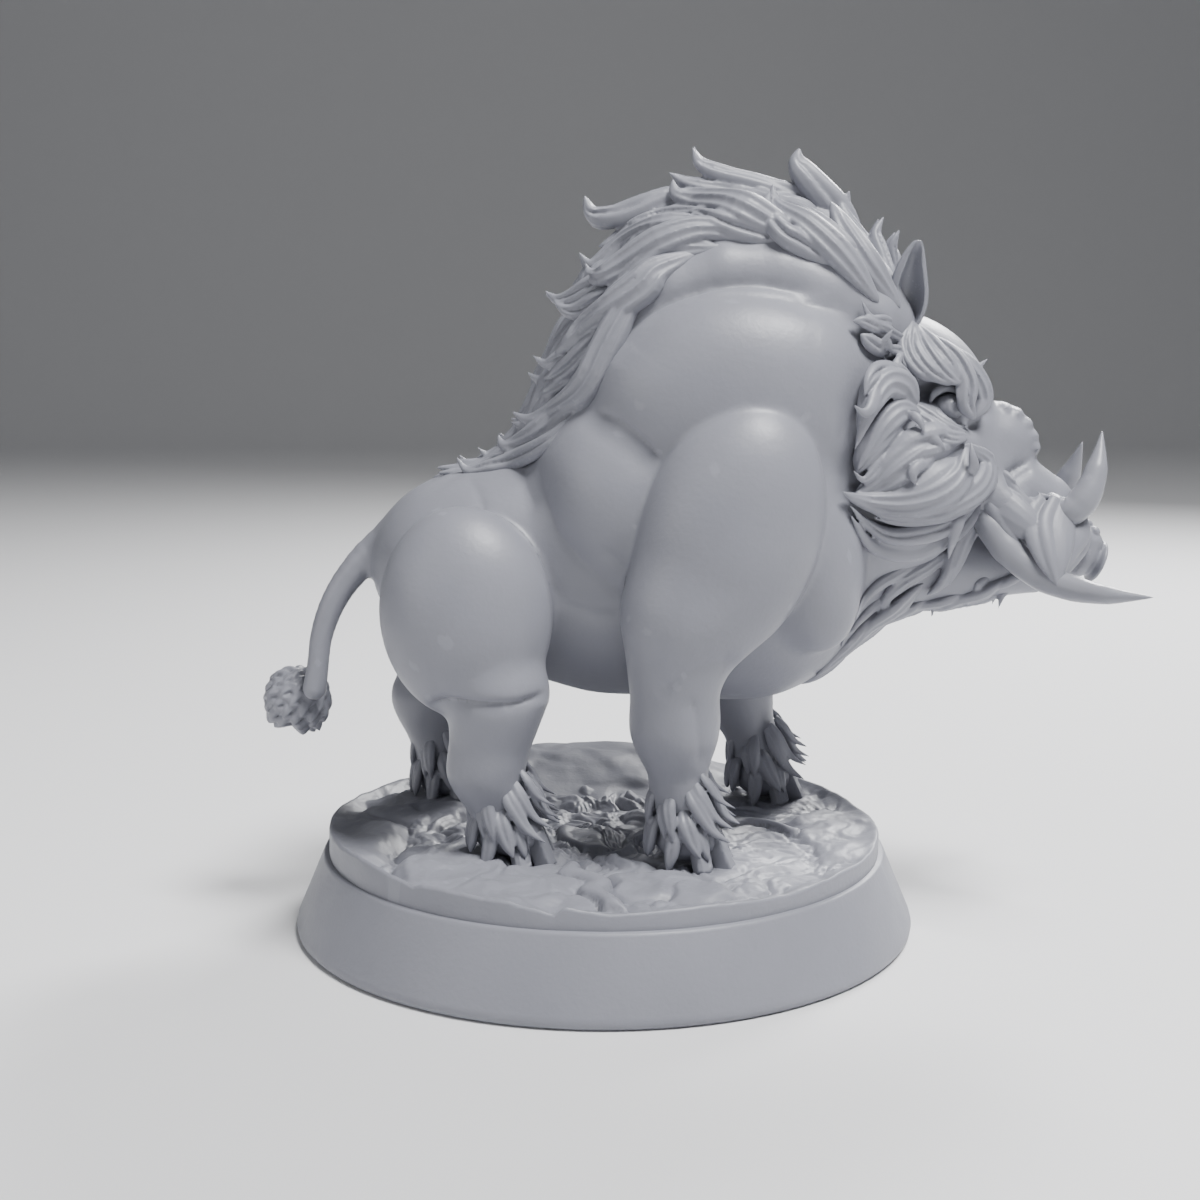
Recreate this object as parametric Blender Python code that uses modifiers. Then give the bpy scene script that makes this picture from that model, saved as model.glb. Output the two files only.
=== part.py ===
"""Tabletop figurine of a giant boar standing on a round bevelled base, as solids in metres.

The base's underside rests on the XY plane with its centre at the origin. The boar faces +X,
and its right side is at -Y. Sizes are in millimetres, and each finished object is brought to
metres at the end. Flesh is a set of ellipsoids and tapered rods melted into one another, so
that every part of the body follows from a centre, three radii and a blend; locks of hair are
tapered blades swept along a short curve.
"""

import math
import random

import bmesh
import bpy
import numpy as np
from mathutils import Matrix, Vector, noise

for old in list(bpy.data.objects):
    bpy.data.objects.remove(old)

BOAR = bpy.data.collections.new("boar_figurine")
bpy.context.scene.collection.children.link(BOAR)

# ---------------------------------------------------------------- driving sizes, mm
GAP = 0.3  # clearance between pieces that touch
TIP_EXTRA = 0.7  # what the rounding of a lock's tip takes off, put back beforehand
BASE_RADIUS = 25.0
RIM_TOP_RADIUS = 22.7
RIM_HEIGHT = 6.2
GROUND_RADIUS = 22.35
GROUND_LEVEL = 7.3
NECK_X = 15.4  # where the trunk ends and the neck starts
HEAD_X = 20.2  # where the neck ends and the head starts
TAIL_TUFT = (-25.2, 1.6, 17.9)
TAIL_TUFT_RADIUS = 2.5
EYE_X, EYE_Z = 26.3, 41.6

NEAR, FAR = -1, 1  # the boar's right and left

# ---------------------------------------------------------------- forms of the flesh


def ball(centre, radii, tilt=0.0, melt=2.0):
    """An ellipsoid; tilt raises its +X end in side view, melt is the blend with what it joins."""
    return ("ball", centre, radii, tilt, melt)


def rod(start, end, r_start, r_end, melt=2.0):
    """A rounded, tapered rod."""
    return ("rod", start, end, r_start, r_end, melt)


def mirrored(form):
    """The form on the right side and its mirror image on the left."""
    flip = lambda p: (p[0], -p[1], p[2])
    if form[0] == "ball":
        return [form, ("ball", flip(form[1])) + form[2:]]
    return [form, ("rod", flip(form[1]), flip(form[2])) + form[3:]]


TRUNK = [
    ball((10.0, 0, 40.4), (12.6, 10.0, 14.0), -12, 0),  # hump
    ball((11.4, 0, 30.8), (10.4, 10.3, 12.6), 0, 4),  # chest
    ball((1.0, 0, 29.2), (11.5, 9.4, 10.6), 0, 5),  # belly
    ball((-10.0, 0, 29.2), (8.6, 8.6, 7.4), 0, 5),  # rump
    rod((14.5, 0, 41.5), (20.6, 0, 40.4), 10.4, 7.4, 4),  # neck
    rod((14.5, 0, 31.5), (19.6, 0, 33.0), 8.6, 6.4, 4),  # throat
    *mirrored(ball((9.6, -6.9, 42.4), (10.4, 5.6, 8.4), 8, 0.9)),  # shoulder blade
    *mirrored(ball((2.2, -4.6, 34.6), (7.6, 7.0, 8.4), 20, 1.2)),  # ribs
    *mirrored(rod((19.8, -4.6, 48.6), (14.0, -5.1, 51.0), 2.6, 3.0, 1.4)),  # ridge of the neck
    *mirrored(rod((14.0, -5.1, 51.0), (9.0, -5.1, 51.6), 3.0, 3.1, 1.4)),
    *mirrored(rod((9.0, -5.1, 51.6), (4.4, -4.9, 50.0), 3.1, 3.0, 1.4)),
    *mirrored(rod((4.4, -4.9, 50.0), (1.2, -4.7, 46.6), 3.0, 2.8, 1.4)),
    *mirrored(rod((1.2, -4.7, 46.6), (-0.8, -4.6, 41.8), 2.8, 2.4, 1.4)),
    *mirrored(ball((14.4, -7.6, 32.4), (4.6, 4.0, 9.4), 16, 1.0)),  # breast
]
SKULL = [
    ball((24.0, 0, 39.6), (6.0, 5.9, 7.8), -10, 1.5),  # brain case
    ball((25.4, 0, 43.8), (6.0, 4.9, 3.7), -48, 2),  # forehead
    *mirrored(ball((23.0, -4.2, 35.2), (5.6, 3.0, 5.8), -20, 2)),  # cheek
    *mirrored(ball((23.6, -5.0, 36.4), (5.0, 3.0, 5.6), -12, 1.5)),  # mass under the ruff
    rod((27.4, 0, 36.9), (34.6, 0, 33.5), 4.5, 3.0, 2.0),  # muzzle
    ball((30.8, 0, 38.5), (3.4, 3.0, 3.4), -25, 1.1),  # bump on the bridge
    ball((36.9, 0, 31.5), (2.4, 2.6, 2.1), -30, 1.0),  # end of the muzzle
]
JAW = [
    rod((20.5, 0, 29.3), (28.0, 0, 28.6), 5.2, 3.1, 0),
    rod((28.0, 0, 28.6), (34.4, 0, 27.8), 2.9, 1.6, 2),
]
LEGS = {
    "foreleg_right": [
        ball((9.2, -11.0, 32.6), (9.9, 4.8, 6.7), 73, 0),  # shoulder and upper arm
        rod((5.2, -11.2, 26.0), (5.3, -10.2, 18.0), 3.9, 3.1, 3),
        rod((5.3, -10.2, 18.0), (5.7, -9.8, 13.0), 3.1, 2.3, 1.5),
        rod((5.7, -9.8, 13.0), (6.2, -9.6, 10.4), 2.3, 2.4, 1.5),
    ],
    "foreleg_left": [
        ball((11.2, 11.0, 32.0), (9.9, 4.8, 6.7), 85, 0),
        rod((9.6, 11.2, 25.5), (11.6, 10.2, 16.5), 3.9, 2.8, 3),
        rod((11.6, 10.2, 16.5), (13.2, 9.6, 12.0), 2.8, 2.2, 1.5),
        rod((13.2, 9.6, 12.0), (13.8, 9.4, 10.2), 2.2, 2.3, 1.5),
    ],
    "hindleg_right": [
        ball((-10.4, -9.0, 26.4), (6.5, 4.9, 8.1), 4, 0),  # thigh
        rod((-8.0, -9.6, 20.5), (-8.8, -9.4, 14.4), 3.9, 3.1, 0.8),
        rod((-8.8, -9.4, 14.4), (-7.6, -9.0, 10.6), 3.1, 2.3, 1.5),
    ],
    "hindleg_left": [
        ball((-12.0, 9.0, 26.4), (6.5, 4.9, 8.1), 14, 0),
        rod((-13.0, 9.6, 20.5), (-15.2, 9.2, 16.4), 3.9, 2.9, 0.8),
        rod((-15.2, 9.2, 16.4), (-13.8, 8.8, 10.4), 2.8, 2.0, 1.5),
    ],
}
TAIL_LINE = [  # x, y, z and radius along the tail
    (-14.6, 0.0, 31.6, 2.1),
    (-18.3, -0.2, 30.2, 1.4),
    (-20.6, -0.5, 27.8, 1.15),
    (-21.9, -0.8, 25.6, 1.0),
    (-22.7, -1.0, 23.2, 0.95),
    (-23.0, -1.1, 20.9, 0.9),
    (-23.3, -1.2, 19.1, 1.0),
]
TAIL = [rod(a[:3], b[:3], a[3], b[3], 0.9) for a, b in zip(TAIL_LINE, TAIL_LINE[1:])]

# ---------------------------------------------------------------- locks of hair, mm
# Each mane lock in side view: root x z, middle x z, tip x z, width, then the distance from the
# centre plane at the root and at the tip. The far side mirrors them.
NAPE_LOCKS = [
    (22.6, 51.0, 22.2, 53.4, 22.6, 54.8, 1.5, 1.6, 1.0),
    (22.2, 49.6, 20.5, 52.5, 21.4, 55.9, 2.0, 2.6, 1.4),
    (21.9, 49.3, 19.4, 52.4, 17.4, 57.1, 3.0, 4.2, 2.8),
    (20.1, 54.0, 18.9, 55.9, 18.9, 57.8, 1.4, 1.0, 0.8),
    (19.5, 51.6, 16.5, 54.8, 13.5, 57.8, 2.6, 3.0, 2.0),
    (18.7, 55.0, 15.9, 58.4, 15.1, 61.9, 2.7, 0.8, 0.4),
]
HUMP_LOCKS = [
    (16.9, 52.3, 14.1, 54.8, 12.9, 58.7, 2.9, 4.6, 3.0),
    (15.1, 57.4, 10.2, 59.2, 6.9, 61.2, 2.1, 0.9, 0.4),
    (15.1, 56.0, 9.5, 58.2, 5.2, 59.3, 2.2, 2.2, 1.6),
    (12.4, 54.0, 8.3, 55.8, 5.3, 58.8, 3.0, 4.4, 3.0),
    (11.0, 53.7, 4.2, 54.8, -1.3, 52.3, 2.3, 4.6, 3.2),
    (9.8, 54.6, 3.5, 55.8, -1.8, 53.2, 2.1, 3.2, 2.2),
    (6.4, 56.6, 3.8, 56.6, 1.4, 55.6, 1.9, 2.4, 2.0),
    (6.0, 57.4, 1.2, 56.2, -1.4, 57.6, 2.3, 0.9, 0.4),
]
BACK_LOCKS = [
    (4.0, 51.2, -1.0, 49.5, -4.4, 50.1, 2.2, 4.4, 2.6),
    (2.8, 49.7, -0.3, 48.0, -4.0, 45.3, 2.3, 4.4, 2.6),
    (-1.0, 48.9, -3.2, 47.0, -4.3, 45.2, 1.5, 1.6, 1.0),
    (-1.8, 46.2, -4.0, 44.8, -5.4, 45.3, 1.3, 1.0, 0.6),
    (-1.4, 45.3, -3.8, 43.5, -5.9, 44.0, 1.4, 2.0, 1.4),
    (-0.3, 45.5, -3.0, 41.2, -7.0, 40.9, 2.1, 4.2, 2.2),
    (-3.0, 43.6, -4.5, 42.0, -5.8, 42.2, 1.3, 1.0, 0.6),
    (-2.6, 41.0, -5.2, 38.5, -8.2, 39.3, 1.9, 3.8, 2.0),
    (-4.5, 40.0, -6.0, 39.6, -7.3, 40.4, 1.2, 1.4, 0.8),
    (-5.4, 38.4, -8.0, 37.2, -9.7, 38.3, 1.5, 2.8, 1.4),
    (-6.4, 37.3, -9.0, 36.6, -11.2, 37.8, 1.5, 1.6, 0.6),
]
MANE_RIDGE = [  # x, z and radius of the ridge under the locks
    (21.0, 49.0, 3.2),
    (19.2, 51.0, 3.5),
    (17.2, 52.8, 3.8),
    (13.5, 54.2, 3.9),
    (9.5, 54.8, 4.0),
    (4.5, 53.2, 4.0),
    (1.2, 50.4, 3.8),
    (-1.4, 45.8, 3.4),
    (-3.6, 41.6, 2.8),
    (-6.0, 38.0, 2.2),
    (-8.2, 36.0, 1.6),
]
# Locks of the cheek: the same in side view; the last two numbers say how far the middle and
# the tip stand off the skin.
CHEEK_LOCKS = [
    (28.8, 37.4, 23.8, 33.6, 17.4, 35.6, 4.2, 0.9, 0.9),
    (27.4, 38.8, 22.6, 36.0, 18.3, 37.0, 3.8, 0.9, 0.8),
    (25.6, 40.4, 21.6, 38.2, 18.6, 39.0, 3.2, 0.7, 0.6),
    (28.2, 34.6, 23.4, 31.2, 18.4, 34.0, 3.2, 0.4, 0.4),
]
JOWL_LOCKS = [
    (22.9, 41.8, 20.2, 44.4, 18.4, 41.2, 3.0, 0.8, 0.7),
    (22.9, 41.8, 20.2, 40.8, 18.3, 38.4, 2.4, 0.7, 0.7),
    (22.6, 45.8, 20.6, 47.4, 18.8, 47.6, 2.4, 0.8, 0.8),
    (23.0, 44.4, 20.8, 45.4, 19.2, 46.0, 2.4, 0.8, 0.8),
]
LIP_LOCKS = [
    (33.6, 34.8, 33.0, 31.4, 34.0, 28.4, 3.0, 0.7, 1.5),
    (35.2, 33.6, 35.0, 31.2, 34.4, 28.8, 2.6, 0.7, 1.5),
]
BEARD_LOCKS = [
    (33.6, 27.6, 31.0, 25.9, 28.8, 25.1, 1.8, 1.2, 1.4),
    (29.0, 28.0, 26.0, 25.4, 24.4, 24.0, 2.6, 1.6, 2.2),
    (25.6, 28.0, 22.8, 24.8, 21.2, 23.2, 2.8, 2.0, 2.6),
    (22.0, 27.2, 19.8, 24.2, 18.4, 22.0, 3.0, 2.0, 2.6),
]

# ---------------------------------------------------------------- field of the flesh


def value(form, p):
    """About how far each point lies outside a form, mm."""
    if form[0] == "ball":
        _, centre, radii, tilt, _ = form
        q = p - np.array(centre, float)
        c, s = math.cos(math.radians(tilt)), math.sin(math.radians(tilt))
        q = np.stack([q[:, 0] * c + q[:, 2] * s, q[:, 1], q[:, 2] * c - q[:, 0] * s], 1)
        r = np.array(radii, float)
        k0 = np.linalg.norm(q / r, axis=1)
        k1 = np.linalg.norm(q / (r * r), axis=1)
        return k0 * (k0 - 1) / np.maximum(k1, 1e-9)
    _, start, end, ra, rb, _ = form
    a, b = np.array(start, float), np.array(end, float)
    t = np.clip((p - a) @ (b - a) / ((b - a) @ (b - a)), 0, 1)
    return np.linalg.norm(p - a - t[:, None] * (b - a), axis=1) - (ra + (rb - ra) * t)


def field(forms, p):
    """The forms melted into one another, each by its own blend."""
    total = None
    for form in forms:
        d = value(form, p)
        if total is None:
            total = d
            continue
        k = max(form[-1], 1e-6)
        h = np.clip(0.5 + 0.5 * (total - d) / k, 0, 1)
        total = total * (1 - h) + d * h - k * h * (1 - h)
    return total


def skin_side(forms, x, z, fallback=1.0):
    """The half width of the flesh at a place in side view, mm."""
    y = np.arange(0.0, 16.0, 0.05)
    p = np.stack([np.full_like(y, x), y, np.full_like(y, z)], 1)
    inside = np.nonzero(field(forms, p) < 0)[0]
    return float(y[inside[-1]]) if len(inside) else fallback


# ---------------------------------------------------------------- mesh helpers


def new_object(name, mesh):
    obj = bpy.data.objects.new(name, mesh)
    BOAR.objects.link(obj)
    return obj


def from_bmesh(name, bm):
    mesh = bpy.data.meshes.new(name)
    bmesh.ops.recalc_face_normals(bm, faces=bm.faces)
    bm.to_mesh(mesh)
    bm.free()
    return new_object(name, mesh)


def apply_modifiers(obj):
    """The object's evaluated mesh becomes its own mesh."""
    graph = bpy.context.evaluated_depsgraph_get()
    mesh = bpy.data.meshes.new_from_object(obj.evaluated_get(graph))
    obj.modifiers.clear()
    obj.data = mesh
    return obj


def remeshed(obj, voxel):
    modifier = obj.modifiers.new("remesh", "REMESH")
    modifier.mode = "VOXEL"
    modifier.voxel_size = voxel
    return apply_modifiers(obj)


def thinned(obj, triangles):
    """Fewer triangles, where the surface is flattest first."""
    obj.data.calc_loop_triangles()
    modifier = obj.modifiers.new("thin", "DECIMATE")
    modifier.ratio = min(1.0, triangles / len(obj.data.loop_triangles))
    modifier.use_collapse_triangulate = True
    return apply_modifiers(obj)


def points_of(mesh):
    flat = np.empty(len(mesh.vertices) * 3, np.float32)
    mesh.vertices.foreach_get("co", flat)
    return flat.reshape(-1, 3).astype(float)


def settled(obj, forms, rounds=4):
    """Moves each point along the field's slope onto the field's surface."""
    p = points_of(obj.data)
    for _ in range(rounds):
        d = field(forms, p)
        slope = np.empty_like(p)
        for axis in range(3):
            q = p.copy()
            q[:, axis] += 0.02
            slope[:, axis] = (field(forms, q) - d) / 0.02
        size = np.maximum((slope * slope).sum(1), 0.2)
        step = -(d / size)[:, None] * slope
        length = np.linalg.norm(step, axis=1)
        p += step * np.minimum(1, 0.8 / np.maximum(length, 1e-9))[:, None]
    obj.data.vertices.foreach_set("co", p.astype(np.float32).ravel())
    obj.data.update()
    return obj


UNIT = bmesh.new()
bmesh.ops.create_icosphere(UNIT, subdivisions=3, radius=1.0)
UNIT_BALL = bpy.data.meshes.new("unit_ball")
UNIT.to_mesh(UNIT_BALL)
UNIT.free()


def flesh(name, forms, triangles, voxel=0.6):
    """A solid bounded by the melted forms."""
    bm = bmesh.new()
    for form in forms:
        if form[0] == "ball":
            spots = [(Vector(form[1]), form[2], form[3])]
        else:
            a, b = Vector(form[1]), Vector(form[2])
            count = max(2, int((b - a).length / (0.5 * min(form[3], form[4]))) + 1)
            spots = []
            for i in range(count):
                t = i / (count - 1)
                r = form[3] + (form[4] - form[3]) * t
                spots.append((a.lerp(b, t), (r, r, r), 0))
        for centre, radii, tilt in spots:
            known = len(bm.verts)
            bm.from_mesh(UNIT_BALL)
            bm.verts.ensure_lookup_table()
            place = Matrix.Translation(centre) @ Matrix.Rotation(-math.radians(tilt), 4, "Y")
            bmesh.ops.transform(
                bm, matrix=place @ Matrix.Diagonal((*radii, 1)), verts=bm.verts[known:]
            )
    obj = remeshed(from_bmesh(name, bm), voxel)
    return thinned(settled(obj, forms), triangles)


def combine(obj, other, operation):
    modifier = obj.modifiers.new("combine", "BOOLEAN")
    modifier.operation = operation
    modifier.solver = "EXACT"
    modifier.use_self = True
    modifier.object = other
    apply_modifiers(obj)
    bpy.data.objects.remove(other)
    return obj


def grown(obj, by=GAP):
    """A copy of the object, larger by a gap all round, to cut its neighbours with."""
    copy = new_object(obj.name + "_cutter", obj.data.copy())
    bm = bmesh.new()
    bm.from_mesh(copy.data)
    bm.normal_update()
    for vert in bm.verts:
        vert.co += vert.normal * by * min(1.6, vert.calc_shell_factor())
    bm.to_mesh(copy.data)
    bm.free()
    return copy


def largest(obj):
    """Only the largest connected piece of the object is kept."""
    bm = bmesh.new()
    bm.from_mesh(obj.data)
    bmesh.ops.remove_doubles(bm, verts=bm.verts, dist=0.002)
    seen, best = set(), []
    for start in bm.faces:
        if start in seen:
            continue
        group, queue = [], [start]
        seen.add(start)
        while queue:
            face = queue.pop()
            group.append(face)
            for edge in face.edges:
                for other in edge.link_faces if len(edge.link_faces) == 2 else ():
                    if other not in seen:
                        seen.add(other)
                        queue.append(other)
        if len(group) > len(best):
            best = group
    keep = set(best)
    bmesh.ops.delete(bm, geom=[f for f in bm.faces if f not in keep], context="FACES")
    bmesh.ops.dissolve_degenerate(bm, dist=0.01, edges=bm.edges)
    bmesh.ops.dissolve_limit(
        bm, angle_limit=math.radians(2.5), verts=bm.verts, edges=bm.edges
    )
    bmesh.ops.triangulate(bm, faces=bm.faces)
    bm.to_mesh(obj.data)
    bm.free()
    return obj


def minus(obj, *others, triangles=0, voxel=0.18):
    """The object without the room that its neighbours take, gap included."""
    for other in others:
        combine(obj, grown(other), "DIFFERENCE")
    largest(obj)
    if triangles:
        largest(thinned(remeshed(obj, voxel), triangles))
    return obj


def box(name, low, high):
    bm = bmesh.new()
    size = [b - a for a, b in zip(low, high)]
    middle = [(a + b) / 2 for a, b in zip(low, high)]
    bmesh.ops.create_cube(
        bm, size=1.0, matrix=Matrix.Translation(middle) @ Matrix.Diagonal((*size, 1))
    )
    return from_bmesh(name, bm)


def slab(name, x_low, x_high, lean=0.0):
    """Everything between two planes across the body, leaning forward towards the top."""
    obj = box(name, (x_low, -30, -5), (x_high, 30, 75))
    for vert in obj.data.vertices:
        vert.co.x += lean * (vert.co.z - 35)
    return obj


def copy_of(obj, name):
    return new_object(name, obj.data.copy())


# ---------------------------------------------------------------- locks


def curve_through(points, t):
    """A point of a smooth curve through three or four points."""
    n = len(points) - 1
    x = min(max(t, 0.0), 1.0) * n
    i = min(int(x), n - 1)
    f = x - i
    p1, p2 = Vector(points[i]), Vector(points[i + 1])
    p0 = Vector(points[i - 1]) if i else p1 * 2 - p2
    p3 = Vector(points[i + 2]) if i + 2 <= n else p2 * 2 - p1
    return 0.5 * (
        2 * p1
        + (p2 - p0) * f
        + (2 * p0 - 5 * p1 + 4 * p2 - p3) * f * f
        + (3 * p1 - p0 - 3 * p2 + p3) * f * f * f
    )


def add_lock(bm, points, width, out, thick=0.6, rings=5, sides=6, blunt=0.0):
    """A blade along a curve: fullest at a third of its length, drawn out to a point."""
    out = Vector(out)
    last, before = Vector(points[-1]), Vector(points[-2])
    points = [*points[:-1], last + (last - before).normalized() * TIP_EXTRA]
    loops = []
    for i in range(rings):
        t = i / rings
        here = curve_through(points, t)
        along = (curve_through(points, t + 0.02) - curve_through(points, t - 0.02)).normalized()
        side = along.cross(out).normalized()
        lift = side.cross(along).normalized()
        full = (0.62 + 1.1 * t) if t < 0.35 else 1.0 - ((t - 0.35) / 0.65) ** (1.7 + blunt)
        half = width / 2 * min(1.0, full)
        ring = []
        for k in range(sides):
            a = 2 * math.pi * k / sides
            ring.append(
                bm.verts.new(here + side * math.cos(a) * half + lift * math.sin(a) * half * thick)
            )
        loops.append(ring)
    tip = bm.verts.new(curve_through(points, 1.0))
    start = bm.verts.new(curve_through(points, 0.0) * 1.04 - curve_through(points, 0.08) * 0.04)
    for low, high in zip(loops, loops[1:]):
        for k in range(sides):
            j = (k + 1) % sides
            bm.faces.new((low[k], low[j], high[j], high[k]))
    for k in range(sides):
        j = (k + 1) % sides
        bm.faces.new((loops[-1][k], loops[-1][j], tip))
        bm.faces.new((loops[0][j], loops[0][k], start))


def build_mane(triangles):
    """A ridge over the nape, hump and back, with locks on both of its sides."""
    bm = bmesh.new()
    for x, z, r in MANE_RIDGE:
        known = len(bm.verts)
        bm.from_mesh(UNIT_BALL)
        bm.verts.ensure_lookup_table()
        bmesh.ops.transform(
            bm,
            matrix=Matrix.Translation((x, 0, z)) @ Matrix.Diagonal((r, r * 1.15, r, 1)),
            verts=bm.verts[known:],
        )
    for x0, z0, x1, z1, x2, z2, width, y_root, y_tip in NAPE_LOCKS + HUMP_LOCKS + BACK_LOCKS:
        for side in (NEAR, FAR):
            points = [
                (x0, side * y_root, z0),
                (x1, side * (y_root + y_tip) / 2, z1),
                (x2, side * y_tip, z2),
            ]
            outward = (x1 - 7.0, side * 6.0, z1 - 40.0)
            add_lock(bm, points, width, outward, 0.8)
    return thinned(remeshed(from_bmesh("mane", bm), 0.24), triangles)


def tuft(name, table, side, thick=0.7):
    """A bundle of locks lying on one side of the head, melted together where they cross."""
    bm = bmesh.new()
    for x0, z0, x1, z1, x2, z2, width, off_middle, off_tip in table:
        y0 = skin_side(BODY, x0, z0, 3.0) - 0.2
        y1 = skin_side(BODY, x1, z1, 3.0) + off_middle
        y2 = skin_side(BODY, x2, z2, y1) + off_tip
        points = [(x0, side * y0, z0), (x1, side * y1, z1), (x2, side * y2, z2)]
        add_lock(bm, points, width, (0, side, 0), thick)
    return thinned(remeshed(from_bmesh(name, bm), 0.3), 900)


# ---------------------------------------------------------------- base


def ground_height(x, y):
    """Trodden earth: low waves and lumps, with a bank along the far edge."""
    rough = 0.35 * noise.noise(Vector((x, y, 3.0)) * 0.28)
    rough += 0.2 * noise.noise(Vector((x, y, 9.0)) * 0.7)
    bank = 2.0 * math.exp(-(((x + 2) / 9) ** 2) - ((y - 17) / 3.5) ** 2)
    left = 0.7 * math.exp(-(((x + 19) / 4) ** 2) - ((y + 2) / 9) ** 2)
    return GROUND_LEVEL + rough + bank + left


def build_rim():
    """The bevelled disc under the ground."""
    profile = [
        (0.0, 0.0),
        (BASE_RADIUS - 0.5, 0.0),
        (BASE_RADIUS, 0.3),
        (BASE_RADIUS - 0.05, 0.8),
        (RIM_TOP_RADIUS + 0.05, RIM_HEIGHT - 0.15),
        (RIM_TOP_RADIUS - 0.15, RIM_HEIGHT),
        (0.0, RIM_HEIGHT),
    ]
    bm = bmesh.new()
    verts = [bm.verts.new((r, 0, z)) for r, z in profile]
    edges = [bm.edges.new(pair) for pair in zip(verts, verts[1:])]
    bmesh.ops.spin(
        bm, geom=verts + edges, cent=(0, 0, 0), axis=(0, 0, 1), angle=2 * math.pi,
        steps=36, use_merge=True, use_duplicate=False,
    )
    bmesh.ops.remove_doubles(bm, verts=bm.verts, dist=0.001)
    return from_bmesh("base_rim", bm)


def build_ground(rings=6, spokes=36):
    """The slab of earth on the rim; its edge is a wavy, broken wall."""
    bm = bmesh.new()
    middle = bm.verts.new((0, 0, ground_height(0, 0)))
    floor = bm.verts.new((0, 0, RIM_HEIGHT + GAP))
    loops = []
    for i in range(1, rings + 2):
        ring = []
        for j in range(spokes):
            a = 2 * math.pi * j / spokes
            edge = GROUND_RADIUS - 0.2 + 0.2 * noise.noise(Vector((math.cos(a), math.sin(a), 0)) * 3)
            r = edge * min(i / rings, 1.0)
            x, y = r * math.cos(a), r * math.sin(a)
            z = ground_height(x, y) if i <= rings else RIM_HEIGHT + GAP
            if i == rings:
                z -= 0.25
            ring.append(bm.verts.new((x, y, z)))
        loops.append(ring)
    for j in range(spokes):
        k = (j + 1) % spokes
        bm.faces.new((middle, loops[0][j], loops[0][k]))
        bm.faces.new((floor, loops[-1][k], loops[-1][j]))
        for low, high in zip(loops, loops[1:]):
            bm.faces.new((low[j], high[j], high[k], low[k]))
    obj = from_bmesh("base_ground", bm)
    return obj


# ---------------------------------------------------------------- feet


def build_toes(name, x, y, heading, lift=0.0):
    """Two blunt cloven toes side by side, joined at the heel."""
    turn = Matrix.Translation((x, y, 8.7 + lift)) @ Matrix.Rotation(math.radians(heading), 4, "Z")
    bm = bmesh.new()
    for side in (NEAR, FAR):
        known = len(bm.verts)
        bmesh.ops.create_cube(bm, size=1.0)
        bm.verts.ensure_lookup_table()
        fresh = bm.verts[known:]
        for vert in fresh:
            front, up = vert.co.x > 0, vert.co.z > 0
            vert.co = Vector((
                (2.6 if not up else 1.2) if front else -1.6,
                side * 0.95 + vert.co.y * (1.5 if not front else 1.2),
                1.2 if up else -1.5,
            ))
        bmesh.ops.transform(bm, matrix=turn, verts=fresh)
    known = len(bm.verts)
    bmesh.ops.create_cube(
        bm, size=1.0, matrix=turn @ Matrix.Translation((-0.9, 0, 0)) @ Matrix.Diagonal((1.3, 2.6, 2.2, 1))
    )
    return thinned(remeshed(from_bmesh(name, bm), 0.22), 400)


def build_feather(name, x, y, z, heading, seed):
    """Two rows of leaf-shaped locks that hang over the foot, their tips turned out."""
    rng = random.Random(seed)
    bm = bmesh.new()
    known = len(bm.verts)
    bm.from_mesh(UNIT_BALL)
    bm.verts.ensure_lookup_table()
    bmesh.ops.transform(
        bm,
        matrix=Matrix.Translation((x, y, z - 1.6)) @ Matrix.Diagonal((2.5, 2.5, 2.1, 1)),
        verts=bm.verts[known:],
    )
    for row, (count, top, reach, drop) in enumerate(((7, 2.2, 2.9, 2.3), (7, -0.2, 3.0, 3.6))):
        for i in range(count):
            a = math.radians(heading) + 2 * math.pi * (i + 0.5 * row) / count
            ahead = 0.5 + 0.5 * math.cos(a - math.radians(heading))
            far = reach + 1.5 * ahead + rng.uniform(-0.15, 0.15)
            c, s = math.cos(a), math.sin(a)
            points = [
                (x + 1.7 * c, y + 1.7 * s, z + top),
                (x + 2.6 * c, y + 2.6 * s, z + (top - drop) / 2 - 0.4 * ahead),
                (x + far * c, y + far * s, z - drop + 0.6 * ahead),
            ]
            add_lock(bm, points, 1.7, (c, s, 0.3), 0.6, 5, 6, 0.8)
    return thinned(remeshed(from_bmesh(name, bm), 0.25), 900)


# ---------------------------------------------------------------- small parts of the head


def build_tusk(name, points, radius, side, triangles=90):
    bm = bmesh.new()
    path = [(x, side * y, z) for x, y, z in points]
    rings, sides = 7, 7
    loops = []
    for i in range(rings):
        t = i / rings
        here = curve_through(path, t)
        along = (curve_through(path, t + 0.02) - curve_through(path, t - 0.02)).normalized()
        across = along.cross(Vector((0, 1, 0))).normalized()
        other = along.cross(across)
        r = radius * (1 - 0.35 * t) * (1 - t**3)
        loops.append([
            bm.verts.new(
                here
                + across * r * math.cos(2 * math.pi * k / sides)
                + other * r * math.sin(2 * math.pi * k / sides)
            )
            for k in range(sides)
        ])
    tip = bm.verts.new(curve_through(path, 1.0))
    for low, high in zip(loops, loops[1:]):
        for k in range(sides):
            j = (k + 1) % sides
            bm.faces.new((low[k], low[j], high[j], high[k]))
    for k in range(sides):
        bm.faces.new((loops[-1][k], loops[-1][(k + 1) % sides], tip))
    bm.faces.new(list(reversed(loops[0])))
    return from_bmesh(name, bm)


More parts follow.
